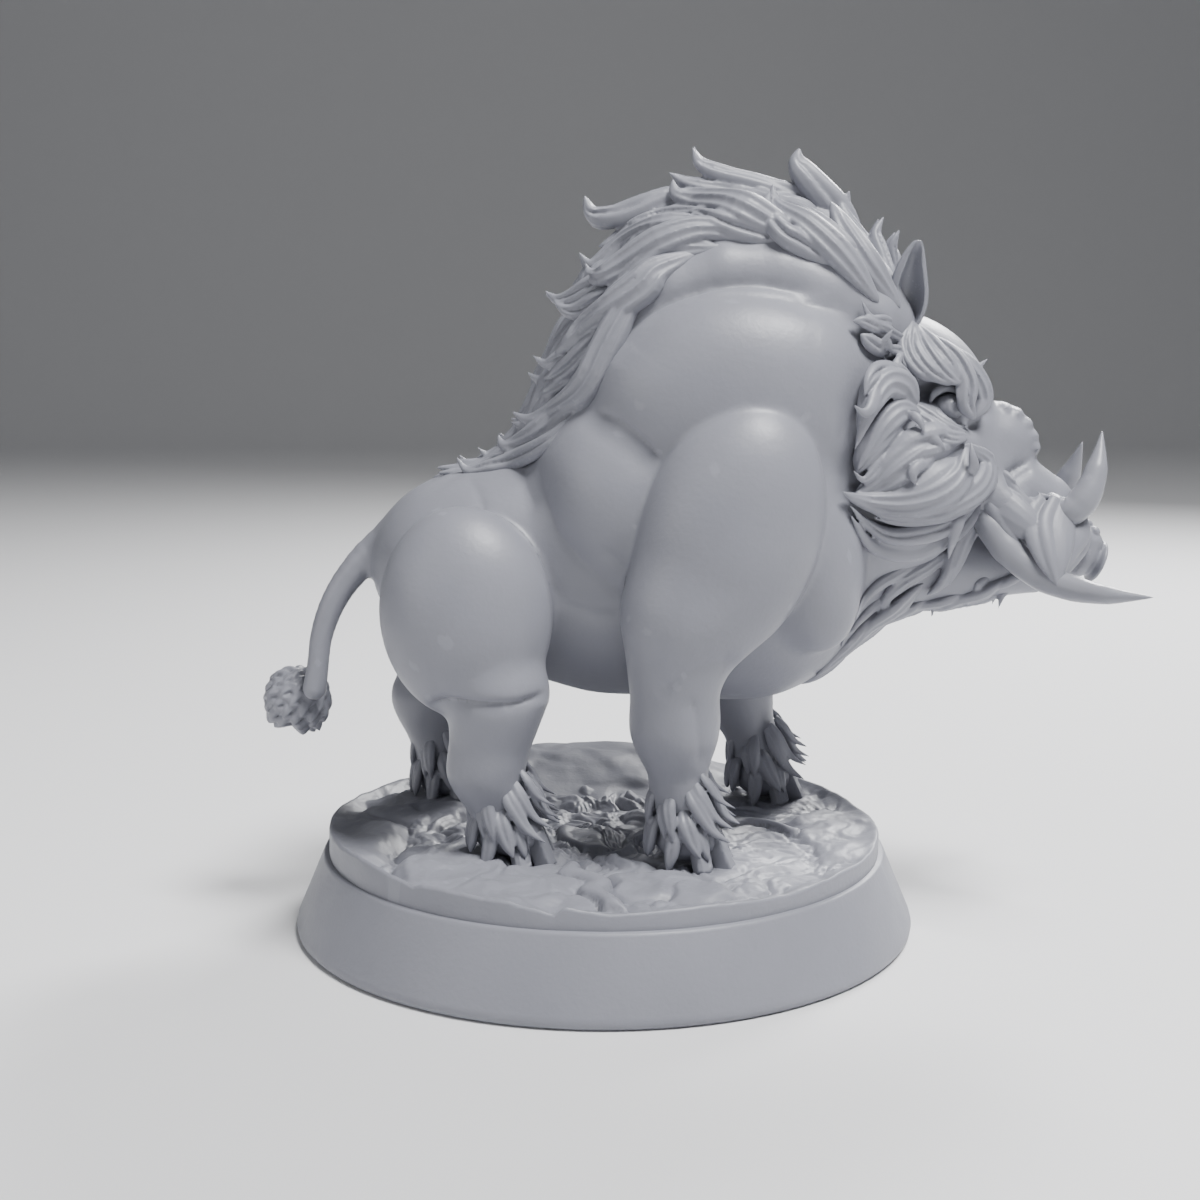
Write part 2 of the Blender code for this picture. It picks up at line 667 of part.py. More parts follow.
def build_ear(name, side):
    """A pointed, upright leaf, hollowed on its outer face."""
    bm = bmesh.new()
    known = len(bm.verts)
    bm.from_mesh(UNIT_BALL)
    bm.verts.ensure_lookup_table()
    for vert in bm.verts[known:]:
        x, y, z = vert.co
        wide = 1.0 - 0.55 * max(0.0, z) ** 1.6 - 0.35 * max(0.0, -z)
        cup = 0.9 * max(0.0, side * y) * (1 - min(1.0, x * x * 1.3)) * (1 - z * z)
        vert.co = Vector((x * 1.55 * wide, y * 0.95 * wide - side * cup, z * 3.6))
    place = Matrix.Translation((23.3, side * 4.2, 50.5)) @ Matrix.Rotation(math.radians(4), 4, "Y")
    bmesh.ops.transform(bm, matrix=place, verts=bm.verts)
    return thinned(from_bmesh(name, bm), 150)


def build_tail_tuft():
    """A ball of short curls at the end of the tail."""
    centre = Vector(TAIL_TUFT)
    bm = bmesh.new()
    bm.from_mesh(UNIT_BALL)
    r = TAIL_TUFT_RADIUS - 0.3
    bmesh.ops.transform(
        bm, matrix=Matrix.Translation(centre) @ Matrix.Diagonal((r, r, r, 1)), verts=bm.verts
    )
    for i in range(14):
        high = 1 - 2 * (i + 0.5) / 14
        turn = 2.4 * i
        flat = math.sqrt(1 - high * high)
        out = Vector((flat * math.cos(turn), flat * math.sin(turn), high))
        drop = Vector((-0.3, 0, -0.9))
        root = centre + out * (r - 0.2)
        belly = centre + out * (r + 0.45) + drop * 0.9
        tip = centre + out * (r + 0.3) + drop * 1.9
        add_lock(bm, [root, belly, tip], 1.9, out, 0.6)
    return thinned(remeshed(from_bmesh("tail_tuft", bm), 0.25), 900)


# ---------------------------------------------------------------- assembly

rim = build_rim()
ground = build_ground()

BODY = TRUNK + SKULL
legs = {name: flesh(name, forms, 236) for name, forms in LEGS.items()}
body = flesh("body", BODY, 1080)
for limb in legs.values():
    minus(limb, ground)

feet = {  # x, y, z of the fetlock, heading, forward shift of the toes
    "fore_right": (6.0, -9.7, 11.6, 0, 1.0),
    "fore_left": (13.6, 9.5, 11.2, 6, 1.0),
    "hind_right": (-7.6, -9.0, 11.4, 0, 1.2),
    "hind_left": (-13.9, 8.8, 11.0, 4, 1.0),
}
for seed, (where, (x, y, z, heading, ahead)) in enumerate(feet.items()):
    limb = legs[where.replace("_", "leg_")]
    toes = build_toes("hoof_" + where, x + ahead, y, heading)
    feather = build_feather("feather_" + where, x, y, z, heading, seed)
    minus(toes, limb, ground, triangles=116)
    minus(feather, limb, toes, ground, triangles=240)

trunk = copy_of(body, "trunk")
combine(trunk, slab("cut", -40, NECK_X - GAP / 2), "INTERSECT")
minus(trunk, *legs.values())
neck = copy_of(body, "neck")
combine(neck, slab("cut", NECK_X + GAP / 2, HEAD_X - GAP / 2), "INTERSECT")
minus(neck, legs["foreleg_right"], legs["foreleg_left"])
head = copy_of(body, "head")
combine(head, slab("cut", HEAD_X + GAP / 2, 60), "INTERSECT")

jaw = minus(flesh("jaw", JAW, 170, 0.5), body)
tail = minus(flesh("tail", TAIL, 150, 0.4), trunk)
minus(build_tail_tuft(), tail, triangles=210)
snout = [
    ball((38.9, 0, 29.6), (0.8, 2.3, 2.0), -28, 0),
    ball((39.1, 0, 30.7), (0.9, 1.7, 0.8), -45, 0.4),
]
snout = minus(flesh("snout_disc", snout, 90, 0.3), head)

mane = minus(build_mane(4000), body)
mane_nape = copy_of(mane, "mane_nape")
combine(mane_nape, slab("cut", 17.0 + GAP / 2, 40, -0.25), "INTERSECT")
mane_hump = copy_of(mane, "mane_hump")
combine(mane_hump, slab("cut", 6.5 + GAP / 2, 17.0 - GAP / 2, -0.25), "INTERSECT")
mane_back = mane
mane_back.name = "mane_back"
combine(mane_back, slab("cut", -30, 6.5 - GAP / 2, -0.25), "INTERSECT")
for part in (mane_nape, mane_hump, mane_back):
    largest(thinned(remeshed(largest(part), 0.2), 405))

for side, label in ((NEAR, "right"), (FAR, "left")):
    lower = build_tusk(
        "tusk_lower_" + label,
        [(28.9, 3.4, 33.4), (31.0, 4.7, 30.8), (33.4, 5.9, 28.9), (36.4, 8.2, 27.9), (40.6, 11.0, 28.0)],
        1.5,
        side,
    )
    upper = build_tusk(
        "tusk_upper_" + label,
        [(34.6, 2.4, 33.0), (36.9, 3.6, 33.7), (38.5, 3.6, 36.2), (38.8, 2.8, 39.8)],
        1.35,
        side,
    )
    eye_y = side * (skin_side(BODY, EYE_X, EYE_Z) - 0.35)
    eye = flesh("eye_" + label, [ball((EYE_X, eye_y, EYE_Z), (1.15, 0.8, 0.95), 0, 0)], 80, 0.2)
    brow_y = skin_side(BODY, 25.0, 45.0)
    brow_front = skin_side(BODY, 28.4, 42.8)
    brow = flesh(
        "brow_" + label,
        [
            ball((25.0, side * (brow_y - 0.2), 45.4), (3.6, 1.9, 2.3), -50, 0),
            ball((28.2, side * (brow_front + 0.1), 43.2), (2.6, 1.5, 1.5), -70, 1),
        ],
        150,
        0.4,
    )
    ear = build_ear("ear_" + label, side)
    cheek = tuft("cheek_" + label, CHEEK_LOCKS, side, 0.8)
    jowl = tuft("jowl_" + label, JOWL_LOCKS, side, 0.8)
    lip = tuft("lip_" + label, LIP_LOCKS, side, 0.6)
    minus(head, eye, upper)
    minus(brow, body, eye, triangles=140)
    minus(ear, body, brow, mane_nape, triangles=124)
    minus(cheek, body, legs["foreleg_" + label], lower, triangles=236)
    minus(jowl, body, cheek, mane_nape, ear, brow, triangles=204)
    minus(lower, body, jaw)
    minus(lip, body, lower, upper, triangles=120)

beard = bmesh.new()
for x0, z0, x1, z1, x2, z2, width, y_root, y_mid in BEARD_LOCKS:
    for side in (NEAR, FAR):
        add_lock(
            beard,
            [(x0, side * y_root, z0), (x1, side * y_mid, z1), (x2, side * y_mid, z2)],
            width,
            (0, side * 0.6, -1),
            0.8,
        )
known = len(beard.verts)
beard.from_mesh(UNIT_BALL)
beard.verts.ensure_lookup_table()
bmesh.ops.transform(
    beard,
    matrix=Matrix.Translation((25.6, 0, 24.9))
    @ Matrix.Rotation(math.radians(-12), 4, "Y")
    @ Matrix.Diagonal((6.2, 2.6, 1.35, 1)),
    verts=beard.verts[known:],
)
beard = thinned(remeshed(from_bmesh("beard", beard), 0.3), 900)
minus(beard, body, jaw, triangles=186, voxel=0.22)

bpy.data.objects.remove(body)

# ---------------------------------------------------------------- materials, then metres
SLOTS = {  # colour and roughness of each finish
    "resin_skin": ((0.40, 0.41, 0.45, 1), 0.5),
    "resin_hair": ((0.41, 0.42, 0.46, 1), 0.5),
    "resin_ivory": ((0.45, 0.46, 0.50, 1), 0.42),
    "resin_eye": ((0.34, 0.35, 0.39, 1), 0.35),
    "resin_base": ((0.41, 0.42, 0.46, 1), 0.5),
}


def slot_of(name):
    if name.startswith("base"):
        return "resin_base"
    if name.startswith(("tusk", "hoof")):
        return "resin_ivory"
    if name.startswith("eye"):
        return "resin_eye"
    if name.startswith(("mane", "cheek", "jowl", "beard", "feather", "brow", "tail_tuft")):
        return "resin_hair"
    return "resin_skin"


for obj in BOAR.objects:
    colour, roughness = SLOTS[slot_of(obj.name)]
    material = bpy.data.materials.new(obj.name)
    material.use_nodes = True
    shader = material.node_tree.nodes["Principled BSDF"]
    shader.inputs["Base Color"].default_value = colour
    shader.inputs["Roughness"].default_value = roughness
    obj.data.materials.clear()
    obj.data.materials.append(material)
    obj.data.transform(Matrix.Scale(0.001, 4))
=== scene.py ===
"""Looks of the giant boar figurine: one casting of unpainted grey resin on a bevelled base.

Lengths are in millimetres while a piece is modelled, and the finished mesh is brought to
metres. The boar faces +X and its right side is at -Y. The skin is a set of ellipsoids and
tapered rods melted together, meshed, and then creased along short lines; hair is modelled as
tapered, grooved locks that lie on that skin.
"""

import math
import random

import bmesh
import bpy
import numpy as np
from mathutils import Matrix, Vector, kdtree, noise


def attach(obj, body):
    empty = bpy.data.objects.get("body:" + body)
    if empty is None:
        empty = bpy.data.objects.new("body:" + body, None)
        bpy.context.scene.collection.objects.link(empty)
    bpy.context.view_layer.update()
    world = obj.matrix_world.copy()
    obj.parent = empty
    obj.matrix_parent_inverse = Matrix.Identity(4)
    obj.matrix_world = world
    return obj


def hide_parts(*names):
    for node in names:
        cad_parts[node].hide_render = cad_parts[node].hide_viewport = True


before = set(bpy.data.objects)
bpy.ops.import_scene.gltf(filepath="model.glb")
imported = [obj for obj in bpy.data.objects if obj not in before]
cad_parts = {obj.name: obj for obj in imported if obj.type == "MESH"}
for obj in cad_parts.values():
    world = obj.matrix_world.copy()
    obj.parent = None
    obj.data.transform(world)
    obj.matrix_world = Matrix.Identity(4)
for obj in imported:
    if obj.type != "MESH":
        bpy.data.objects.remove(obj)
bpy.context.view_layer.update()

RIGHT, LEFT = -1, 1
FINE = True
SKIN_VOXEL = 0.235 if FINE else 0.42
MOST_TRIANGLES = 190000  # in one piece
BASE_RADIUS = 25.0
RIM_TOP_RADIUS = 22.7
RIM_HEIGHT = 6.2
GROUND_RADIUS = 22.35
GROUND_LEVEL = 7.3
TAIL_TUFT = (-25.2, 1.6, 17.9)
EYE_X, EYE_Z = 26.3, 41.7
ROOT_SINK = 0.8  # how deep the root of a lock lies in the skin
TIP_EXTRA = 0.2  # what the fusing of the locks takes off a tip, put back beforehand
UV_PATCH = 0.003  # size of a lock's patch on the unwrap

# ---------------------------------------------------------------- forms of the flesh, mm


def ball(centre, radii, tilt=0.0, melt=2.0, yaw=0.0):
    """An ellipsoid: tilt raises its +X end in side view, yaw turns it about Z."""
    return ("ball", centre, radii, tilt, yaw, melt)


def rod(start, end, r_start, r_end, melt=2.0):
    """A rounded, tapered rod."""
    return ("rod", start, end, r_start, r_end, melt)


def mirrored(place):
    return (place[0], -place[1], place[2])


def both(form):
    """The form on the right side and its mirror image on the left."""
    if form[0] == "ball":
        return [form, ("ball", mirrored(form[1]), form[2], form[3], -form[4], form[5])]
    return [form, ("rod", mirrored(form[1]), mirrored(form[2])) + form[3:]]


MANE_RIDGE = [  # x, z and radius of the mound under the mane, from nape to back
    (21.0, 49.0, 2.9),
    (19.2, 51.0, 3.2),
    (17.2, 52.8, 3.3),
    (13.5, 54.2, 3.3),
    (9.5, 54.8, 3.2),
    (4.5, 53.2, 3.1),
    (1.2, 50.4, 2.8),
    (-1.4, 45.8, 2.5),
    (-3.6, 41.6, 2.0),
    (-6.0, 38.0, 1.6),
    (-8.6, 36.2, 1.0),
]
TRUNK = [
    ball((10.0, 0, 40.4), (12.6, 10.0, 14.0), -12, 0),  # hump
    ball((11.4, 0, 30.8), (10.4, 10.3, 12.6), 0, 4),  # chest
    ball((1.0, 0, 29.2), (11.5, 9.4, 10.6), 0, 5),  # belly
    ball((-10.0, 0, 29.2), (8.6, 8.6, 7.4), 0, 5),  # rump
    rod((14.5, 0, 41.5), (20.6, 0, 40.4), 10.4, 7.4, 4),  # neck
    rod((14.5, 0, 31.5), (19.6, 0, 33.0), 8.6, 6.4, 4),  # throat
    *both(ball((9.6, -6.9, 42.4), (10.4, 5.6, 8.4), 8, 0.9)),  # shoulder blade
    *both(ball((2.2, -4.6, 34.6), (7.6, 7.0, 8.4), 20, 1.2)),  # ribs
    *both(rod((19.8, -4.6, 48.4), (16.6, -4.9, 50.2), 2.6, 2.8, 1.6)),  # ridge of the neck
    *both(rod((16.6, -4.9, 50.2), (13.0, -5.0, 51.3), 2.8, 2.9, 0.3)),
    *both(rod((13.0, -5.0, 51.3), (9.0, -5.0, 51.4), 2.9, 2.9, 0.3)),
    *both(rod((9.0, -5.0, 51.4), (5.4, -4.9, 50.2), 2.9, 2.9, 0.3)),
    *both(rod((5.4, -4.9, 50.2), (2.6, -4.8, 47.8), 2.9, 2.8, 0.3)),
    *both(rod((2.6, -4.8, 47.8), (0.6, -4.7, 45.0), 2.8, 2.6, 0.3)),
    *both(rod((0.6, -4.7, 45.0), (-0.8, -4.6, 41.8), 2.6, 2.4, 0.3)),
    *both(ball((14.4, -7.6, 32.4), (4.6, 4.0, 9.4), 16, 1.0)),  # breast
]
BRIDGE_WRINKLES = [(31.5, 41.5), (32.5, 41.1), (33.3, 40.3), (33.8, 39.3), (34.0, 38.4)]
SKULL = [
    ball((24.0, 0, 39.6), (6.0, 5.9, 7.8), -10, 1.5),  # brain case
    ball((25.4, 0, 43.8), (6.0, 4.9, 3.7), -48, 2),  # forehead
    *both(ball((23.0, -4.2, 35.2), (5.6, 3.0, 5.8), -20, 2)),  # cheek
    *both(ball((23.6, -5.0, 36.4), (5.0, 3.0, 5.6), -12, 1.5)),  # mass under the ruff
    rod((27.4, 0, 36.9), (34.6, 0, 33.5), 4.5, 3.0, 2.0),  # muzzle
    ball((30.8, 0, 38.5), (3.4, 2.9, 3.3), -25, 0.9),  # bump on the bridge
    ball((36.6, 0, 31.9), (2.4, 2.6, 2.0), -25, 1.0),  # end of the muzzle
    *[ball((x, 0, z), (0.6, 1.7, 0.5), 0, 0.5) for x, z in BRIDGE_WRINKLES],
    rod((20.5, 0, 29.7), (28.0, 0, 28.9), 5.2, 3.0, 1.0),  # jaw
    rod((28.0, 0, 28.9), (34.4, 0, 28.2), 2.9, 1.5, 1.0),
    *both(ball((31.6, -3.4, 33.4), (3.2, 1.7, 2.0), -48, 0.9)),  # flesh of the upper lip
]
MOUND_SPREAD = 0.9  # how far out its side rods lie, in their own radii, and how much lower, mm
MOUND = [
    rod((a[0], y * a[2], a[1] - abs(y)), (b[0], y * b[2], b[1] - abs(y)), a[2], b[2], 0.8)
    for a, b in zip(MANE_RIDGE, MANE_RIDGE[1:])
    for y in (0, -MOUND_SPREAD, MOUND_SPREAD)
]
LIMBS = [
    [
        ball((9.2, -11.0, 32.6), (9.9, 4.8, 6.7), 73, 0),  # right foreleg
        rod((5.2, -11.2, 26.0), (5.3, -10.2, 18.0), 3.9, 3.1, 3),
        rod((5.3, -10.2, 18.0), (5.7, -9.8, 13.0), 3.0, 2.0, 1.5),
        rod((5.7, -9.8, 13.0), (6.2, -9.6, 9.6), 2.0, 2.0, 1.0),
        ball((6.4, -9.7, 9.3), (2.6, 2.4, 1.7), 0, 0.7),
    ],
    [
        ball((11.2, 11.0, 32.0), (9.9, 4.8, 6.7), 85, 0),  # left foreleg
        rod((9.6, 11.2, 25.5), (11.6, 10.2, 16.5), 3.9, 2.8, 3),
        rod((11.6, 10.2, 16.5), (13.2, 9.6, 12.0), 2.8, 2.0, 1.5),
        rod((13.2, 9.6, 12.0), (13.8, 9.4, 9.6), 2.0, 2.0, 1.0),
        ball((14.0, 9.5, 9.3), (2.6, 2.4, 1.7), 0, 0.7),
    ],
    [
        ball((-10.4, -9.0, 26.4), (6.5, 4.9, 8.1), 4, 0),  # right hind leg
        rod((-8.0, -9.6, 20.5), (-9.0, -9.4, 14.6), 3.9, 2.7, 0.8),
        rod((-9.0, -9.4, 14.6), (-7.8, -9.0, 10.0), 2.7, 1.9, 1.2),
        ball((-7.2, -9.0, 9.3), (2.6, 2.4, 1.7), 0, 0.7),
    ],
    [
        ball((-12.0, 9.0, 26.4), (6.5, 4.9, 8.1), 14, 0),  # left hind leg
        rod((-13.0, 9.6, 20.5), (-15.2, 9.2, 16.4), 3.9, 2.9, 0.8),
        rod((-15.2, 9.2, 16.4), (-13.8, 8.8, 9.4), 2.8, 2.0, 1.5),
        ball((-13.5, 8.8, 9.3), (2.6, 2.4, 1.7), 0, 0.7),
    ],
]
TAIL_LINE = [  # x, y, z and radius along the tail
    (-15.0, 0.0, 31.6, 2.0),
    (-18.3, -0.2, 30.2, 1.35),
    (-20.6, -0.5, 27.8, 1.1),
    (-21.9, -0.8, 25.6, 0.98),
    (-22.7, -1.0, 23.2, 0.88),
    (-23.0, -1.1, 20.9, 0.86),
    (-23.3, -1.2, 19.1, 0.95),
]
LIMB_MELT = 0.45  # a narrow crease where a limb leaves the trunk
TAIL_MELT = 0.9

# Creases in side view: where, points (x, z), depth, half width above, half width below.
CREASES = [
    (
        "trunk",  # top of the shoulder blade
        [(0.6, 44.9), (1.5, 46.7), (4.0, 48.7), (6.9, 50.0), (9.8, 50.3), (12.7, 50.0),
         (15.7, 49.4), (18.6, 48.7)],
        0.42, 0.5, 1.4,
    ),
    ("trunk", [(-1.4, 41.8), (1.2, 40.9), (3.0, 39.4), (4.4, 37.8)], 0.38, 0.3, 1.4),
    (
        "trunk",  # behind the ribs
        [(-5.1, 38.1), (-4.8, 35.7), (-3.7, 32.7), (-1.8, 30.4), (0.4, 28.5), (1.9, 27.0)],
        0.3, 1.3, 0.5,
    ),
    ("trunk", [(-6.3, 37.8), (-6.0, 35.7), (-5.1, 34.1)], 0.16, 0.6, 0.5),
    ("trunk", [(-0.3, 31.6), (1.2, 30.3), (2.8, 30.0)], 0.2, 0.9, 0.6),
    ("trunk", [(-8.0, 32.2), (-5.2, 29.6), (-3.1, 27.6), (-0.6, 26.8), (2.0, 26.6)], 0.28, 1.4, 0.5),
    ("trunk", [(15.6, 48.2), (15.0, 45.4), (13.8, 42.8), (12.6, 41.4)], 0.04, 0.3, 0.6),
    ("trunk", [(-10.6, 36.4), (-9.6, 35.2), (-8.8, 33.4)], 0.12, 0.4, 0.5),
    ("limb", [(-13.2, 19.6), (-11.9, 20.2), (-9.6, 20.4), (-6.6, 20.3), (-3.6, 20.9)], 0.55, 0.3, 0.5),
    ("limb", [(3.9, 20.9), (5.4, 22.6), (7.6, 23.4), (10.0, 23.4)], 0.34, 1.1, 0.9),
    ("limb", [(6.3, 21.1), (6.8, 19.3), (7.1, 17.4), (7.1, 15.0)], 0.24, 0.9, 0.7),
    ("trunk", [(34.2, 38.1), (33.0, 37.3), (32.0, 36.9), (31.0, 36.2)], 0.6, 0.32, 0.4),  # muzzle
    ("trunk", [(33.6, 36.9), (32.5, 36.4), (31.5, 35.8)], 0.25, 0.3, 0.35),
    ("trunk", [(31.0, 36.2), (31.9, 35.4), (32.7, 34.8), (33.7, 34.5)], 0.3, 0.3, 0.4),
    ("trunk", [(27.0, 41.0), (28.1, 40.2), (29.2, 40.6), (30.4, 41.9)], 0.4, 0.5, 0.4),  # behind the bump
]
# Hollows pressed into both sides of the skin: centre x z, half sizes x z, depth.
HOLLOWS = [
    (24.9, 43.3, 2.4, 1.0, 1.5),  # eye socket
    (26.6, 41.7, 1.4, 1.2, 0.55),
    (18.6, 41.0, 1.2, 4.0, 0.5),  # behind the ruff
]

# Blades of the lip's flap: x, y, z of the points, width, thickness, grooves and bluntness.
LIP_FLAP = [
    ([(34.0, 3.7, 34.5), (32.9, 5.0, 32.9), (33.3, 6.2, 30.5), (34.4, 7.2, 28.2)], 1.5, 0.6, 0, 0.2),
    ([(35.0, 3.9, 34.6), (33.9, 5.3, 32.7), (34.0, 6.5, 30.5), (34.5, 7.3, 28.2)], 1.4, 0.65, 0, 0.2),
    ([(36.0, 3.6, 34.4), (35.2, 5.1, 32.4), (34.9, 6.2, 30.4), (34.6, 7.2, 28.3)], 2.3, 0.4, 0, 0.3),
    ([(37.0, 3.0, 33.4), (36.7, 4.3, 32.0), (35.9, 5.2, 30.7), (34.9, 6.6, 28.8)], 2.2, 0.4, 0, 0.2),
    ([(37.9, 2.0, 32.2), (37.3, 3.4, 31.2), (36.3, 4.9, 30.1), (35.2, 6.4, 28.8)], 1.7, 0.4, 0, 0.2),
]
# Folds of the lip between the ruff and the flap.
LIP_FOLDS = [
    ([(28.6, 2.8, 35.0), (30.3, 3.7, 34.2), (32.0, 4.5, 33.0), (33.8, 5.3, 31.6)], 3.4, 0.55, 0, 1.5),
    (
        [(28.2, 3.3, 35.3), (29.4, 4.0, 34.6), (30.4, 4.5, 33.4), (31.2, 4.9, 32.1), (31.9, 5.3, 31.2)],
        1.3, 0.8, 0, 1.0,
    ),
    (
        [(29.0, 3.2, 36.0), (30.3, 3.9, 35.1), (31.4, 4.5, 33.9), (32.1, 5.0, 32.6), (32.8, 5.6, 31.4)],
        1.5, 0.8, 0, 1.2,
    ),
    (
        [(30.0, 2.9, 36.2), (31.1, 3.5, 36.0), (31.9, 3.9, 35.2), (32.7, 4.2, 34.5), (34.0, 4.3, 34.0)],
        0.95, 0.9, 0, 0.6,
    ),
    ([(33.0, 3.6, 34.6), (33.1, 4.3, 33.6), (33.0, 5.0, 32.6), (33.2, 5.6, 31.6)], 1.3, 0.7, 0, 0.8),
]

# ---------------------------------------------------------------- hair, in side view, mm

# Each lock: the points (x, z) it runs through from root to tip, its width, the number of
# grooves along it, how far it stands off the skin, and how blunt its tip is.
MANE_NAPE = [
    ([(20.2, 54.0), (18.2, 56.6), (16.0, 59.0), (15.0, 60.3), (15.1, 61.4)], 3.1, 2, -1.4, 0),
    ([(22.1, 49.4), (19.7, 52.5), (18.0, 55.1), (17.2, 57.1)], 2.2, 2, 0.8, 0.9),
    ([(22.4, 50.6), (21.3, 53.7), (21.0, 55.0), (21.6, 56.2)], 1.3, 1, 0.3, 0),
    ([(22.8, 52.3), (22.4, 53.9), (22.9, 55.2)], 1.1, 1, 0.0, 0),
    ([(19.8, 55.3), (18.8, 57.1), (19.0, 58.2)], 1.0, 1, -0.2, 0),
    ([(21.9, 51.3), (20.1, 54.2), (18.7, 56.3), (18.1, 57.6)], 1.5, 2, 0.2, 0),
    ([(21.6, 49.2), (19.2, 51.6), (17.2, 53.7), (15.5, 55.7), (14.6, 57.0)], 1.9, 2, 0.3, 0),
]
MANE_HUMP = [
    ([(20.2, 49.8), (17.8, 52.7), (15.2, 55.2), (13.0, 56.8), (12.8, 58.5)], 2.4, 2, 0.9, 0),
    ([(16.7, 52.4), (14.7, 53.7), (13.1, 54.7), (12.1, 56.4), (12.5, 57.9)], 2.0, 1, 0.8, 0),
    ([(20.4, 50.9), (18.1, 53.5), (16.0, 55.6), (14.1, 57.1), (12.7, 58.0)], 1.8, 2, 0.5, 0),
    ([(19.0, 55.5), (15.5, 57.6), (12.0, 58.8), (8.8, 59.6), (7.3, 60.4), (6.9, 61.5)], 2.0, 1, -0.7, 0),
    ([(17.7, 55.0), (13.8, 56.9), (10.6, 58.0), (7.7, 58.6), (6.1, 59.0), (5.1, 59.6)], 2.0, 2, 0.0, 0),
    ([(15.2, 54.0), (12.2, 55.6), (9.9, 56.7), (7.4, 57.4), (5.6, 57.9), (5.3, 59.0)], 2.8, 2, 0.8, 0),
    ([(13.1, 54.0), (9.9, 55.0), (7.6, 55.9), (6.1, 56.7)], 2.0, 1, 0.5, 0),
    ([(8.9, 58.9), (4.7, 57.8), (2.0, 56.6), (-0.2, 56.3), (-1.2, 56.8), (-1.5, 57.9)], 2.3, 1, -0.3, 0),
    ([(7.7, 56.5), (4.8, 56.3), (3.1, 55.9), (1.8, 55.7)], 1.5, 1, 0.8, 0.9),
    (
        [(11.5, 54.0), (7.6, 55.0), (4.2, 54.1), (1.4, 52.4), (-0.3, 51.5), (-1.1, 51.8),
         (-1.4, 52.6)],
        2.4, 2, 0.8, 0,
    ),
    (
        [(9.4, 54.3), (6.5, 55.4), (3.9, 55.2), (1.6, 54.4), (-0.3, 52.9), (-1.2, 52.7),
         (-2.0, 53.6)],
        2.0, 2, 0.3, 0,
    ),
    ([(4.4, 55.7), (2.0, 55.2), (0.6, 54.4), (-0.4, 54.0)], 1.5, 1, 0.0, 0),
    ([(8.5, 53.5), (5.4, 53.4), (3.1, 52.4), (1.2, 51.0), (-0.1, 50.1)], 2.1, 2, 0.5, 0),
    ([(4.6, 51.9), (2.7, 51.5), (1.1, 50.6), (-0.3, 49.8)], 1.5, 1, 0.9, 0.6),
]
MANE_BACK = [
    (
        [(6.5, 53.0), (3.9, 51.9), (2.7, 50.6), (0.4, 49.0), (-1.5, 47.7), (-2.9, 46.4),
         (-4.1, 45.4)],
        2.9, 2, 0.7, 0,
    ),
    ([(3.7, 52.7), (0.8, 51.7), (-1.1, 50.8), (-2.6, 50.0), (-3.7, 49.9), (-4.6, 50.6)], 1.9, 1, -0.1, 0),
    ([(2.1, 51.0), (-0.3, 49.8), (-1.8, 49.0), (-2.9, 49.0), (-3.8, 49.6)], 1.8, 1, 0.3, 0),
    ([(0.6, 48.9), (-2.0, 46.6), (-3.7, 45.3), (-4.6, 45.0), (-5.5, 45.6)], 1.4, 1, -0.1, 0),
    ([(1.4, 49.4), (-0.9, 46.4), (-3.0, 44.5), (-4.6, 43.6), (-6.0, 44.3)], 1.9, 1, 0.1, 0),
    ([(0.0, 46.5), (-2.7, 43.9), (-4.4, 42.8), (-5.7, 42.2)], 1.3, 1, 0.0, 0),
    (
        [(3.2, 50.7), (1.5, 48.9), (0.1, 46.2), (-1.5, 43.3), (-3.6, 41.6), (-5.7, 40.7),
         (-7.2, 41.3)],
        2.6, 2, 0.6, 0,
    ),
    ([(2.4, 48.9), (1.1, 47.2), (-0.2, 44.7), (-1.6, 42.5), (-3.2, 41.3)], 1.7, 1, 0.3, 0.3),
    ([(-2.7, 42.5), (-5.0, 40.8), (-6.2, 40.2), (-7.4, 40.5)], 1.1, 1, 0.0, 0),
    (
        [(0.4, 45.6), (-1.2, 43.0), (-3.2, 41.1), (-5.0, 39.8), (-6.8, 38.8), (-7.9, 38.7),
         (-8.3, 39.5)],
        2.3, 2, 0.5, 0,
    ),
    ([(-3.4, 39.7), (-6.6, 38.6), (-8.2, 38.1), (-9.2, 37.7), (-10.0, 38.4)], 1.2, 1, 0.0, 0),
    (
        [(-1.7, 41.6), (-4.2, 39.2), (-7.0, 37.6), (-9.0, 37.0), (-10.7, 36.7), (-11.6, 37.8)],
        1.7, 1, 0.4, 0,
    ),
]
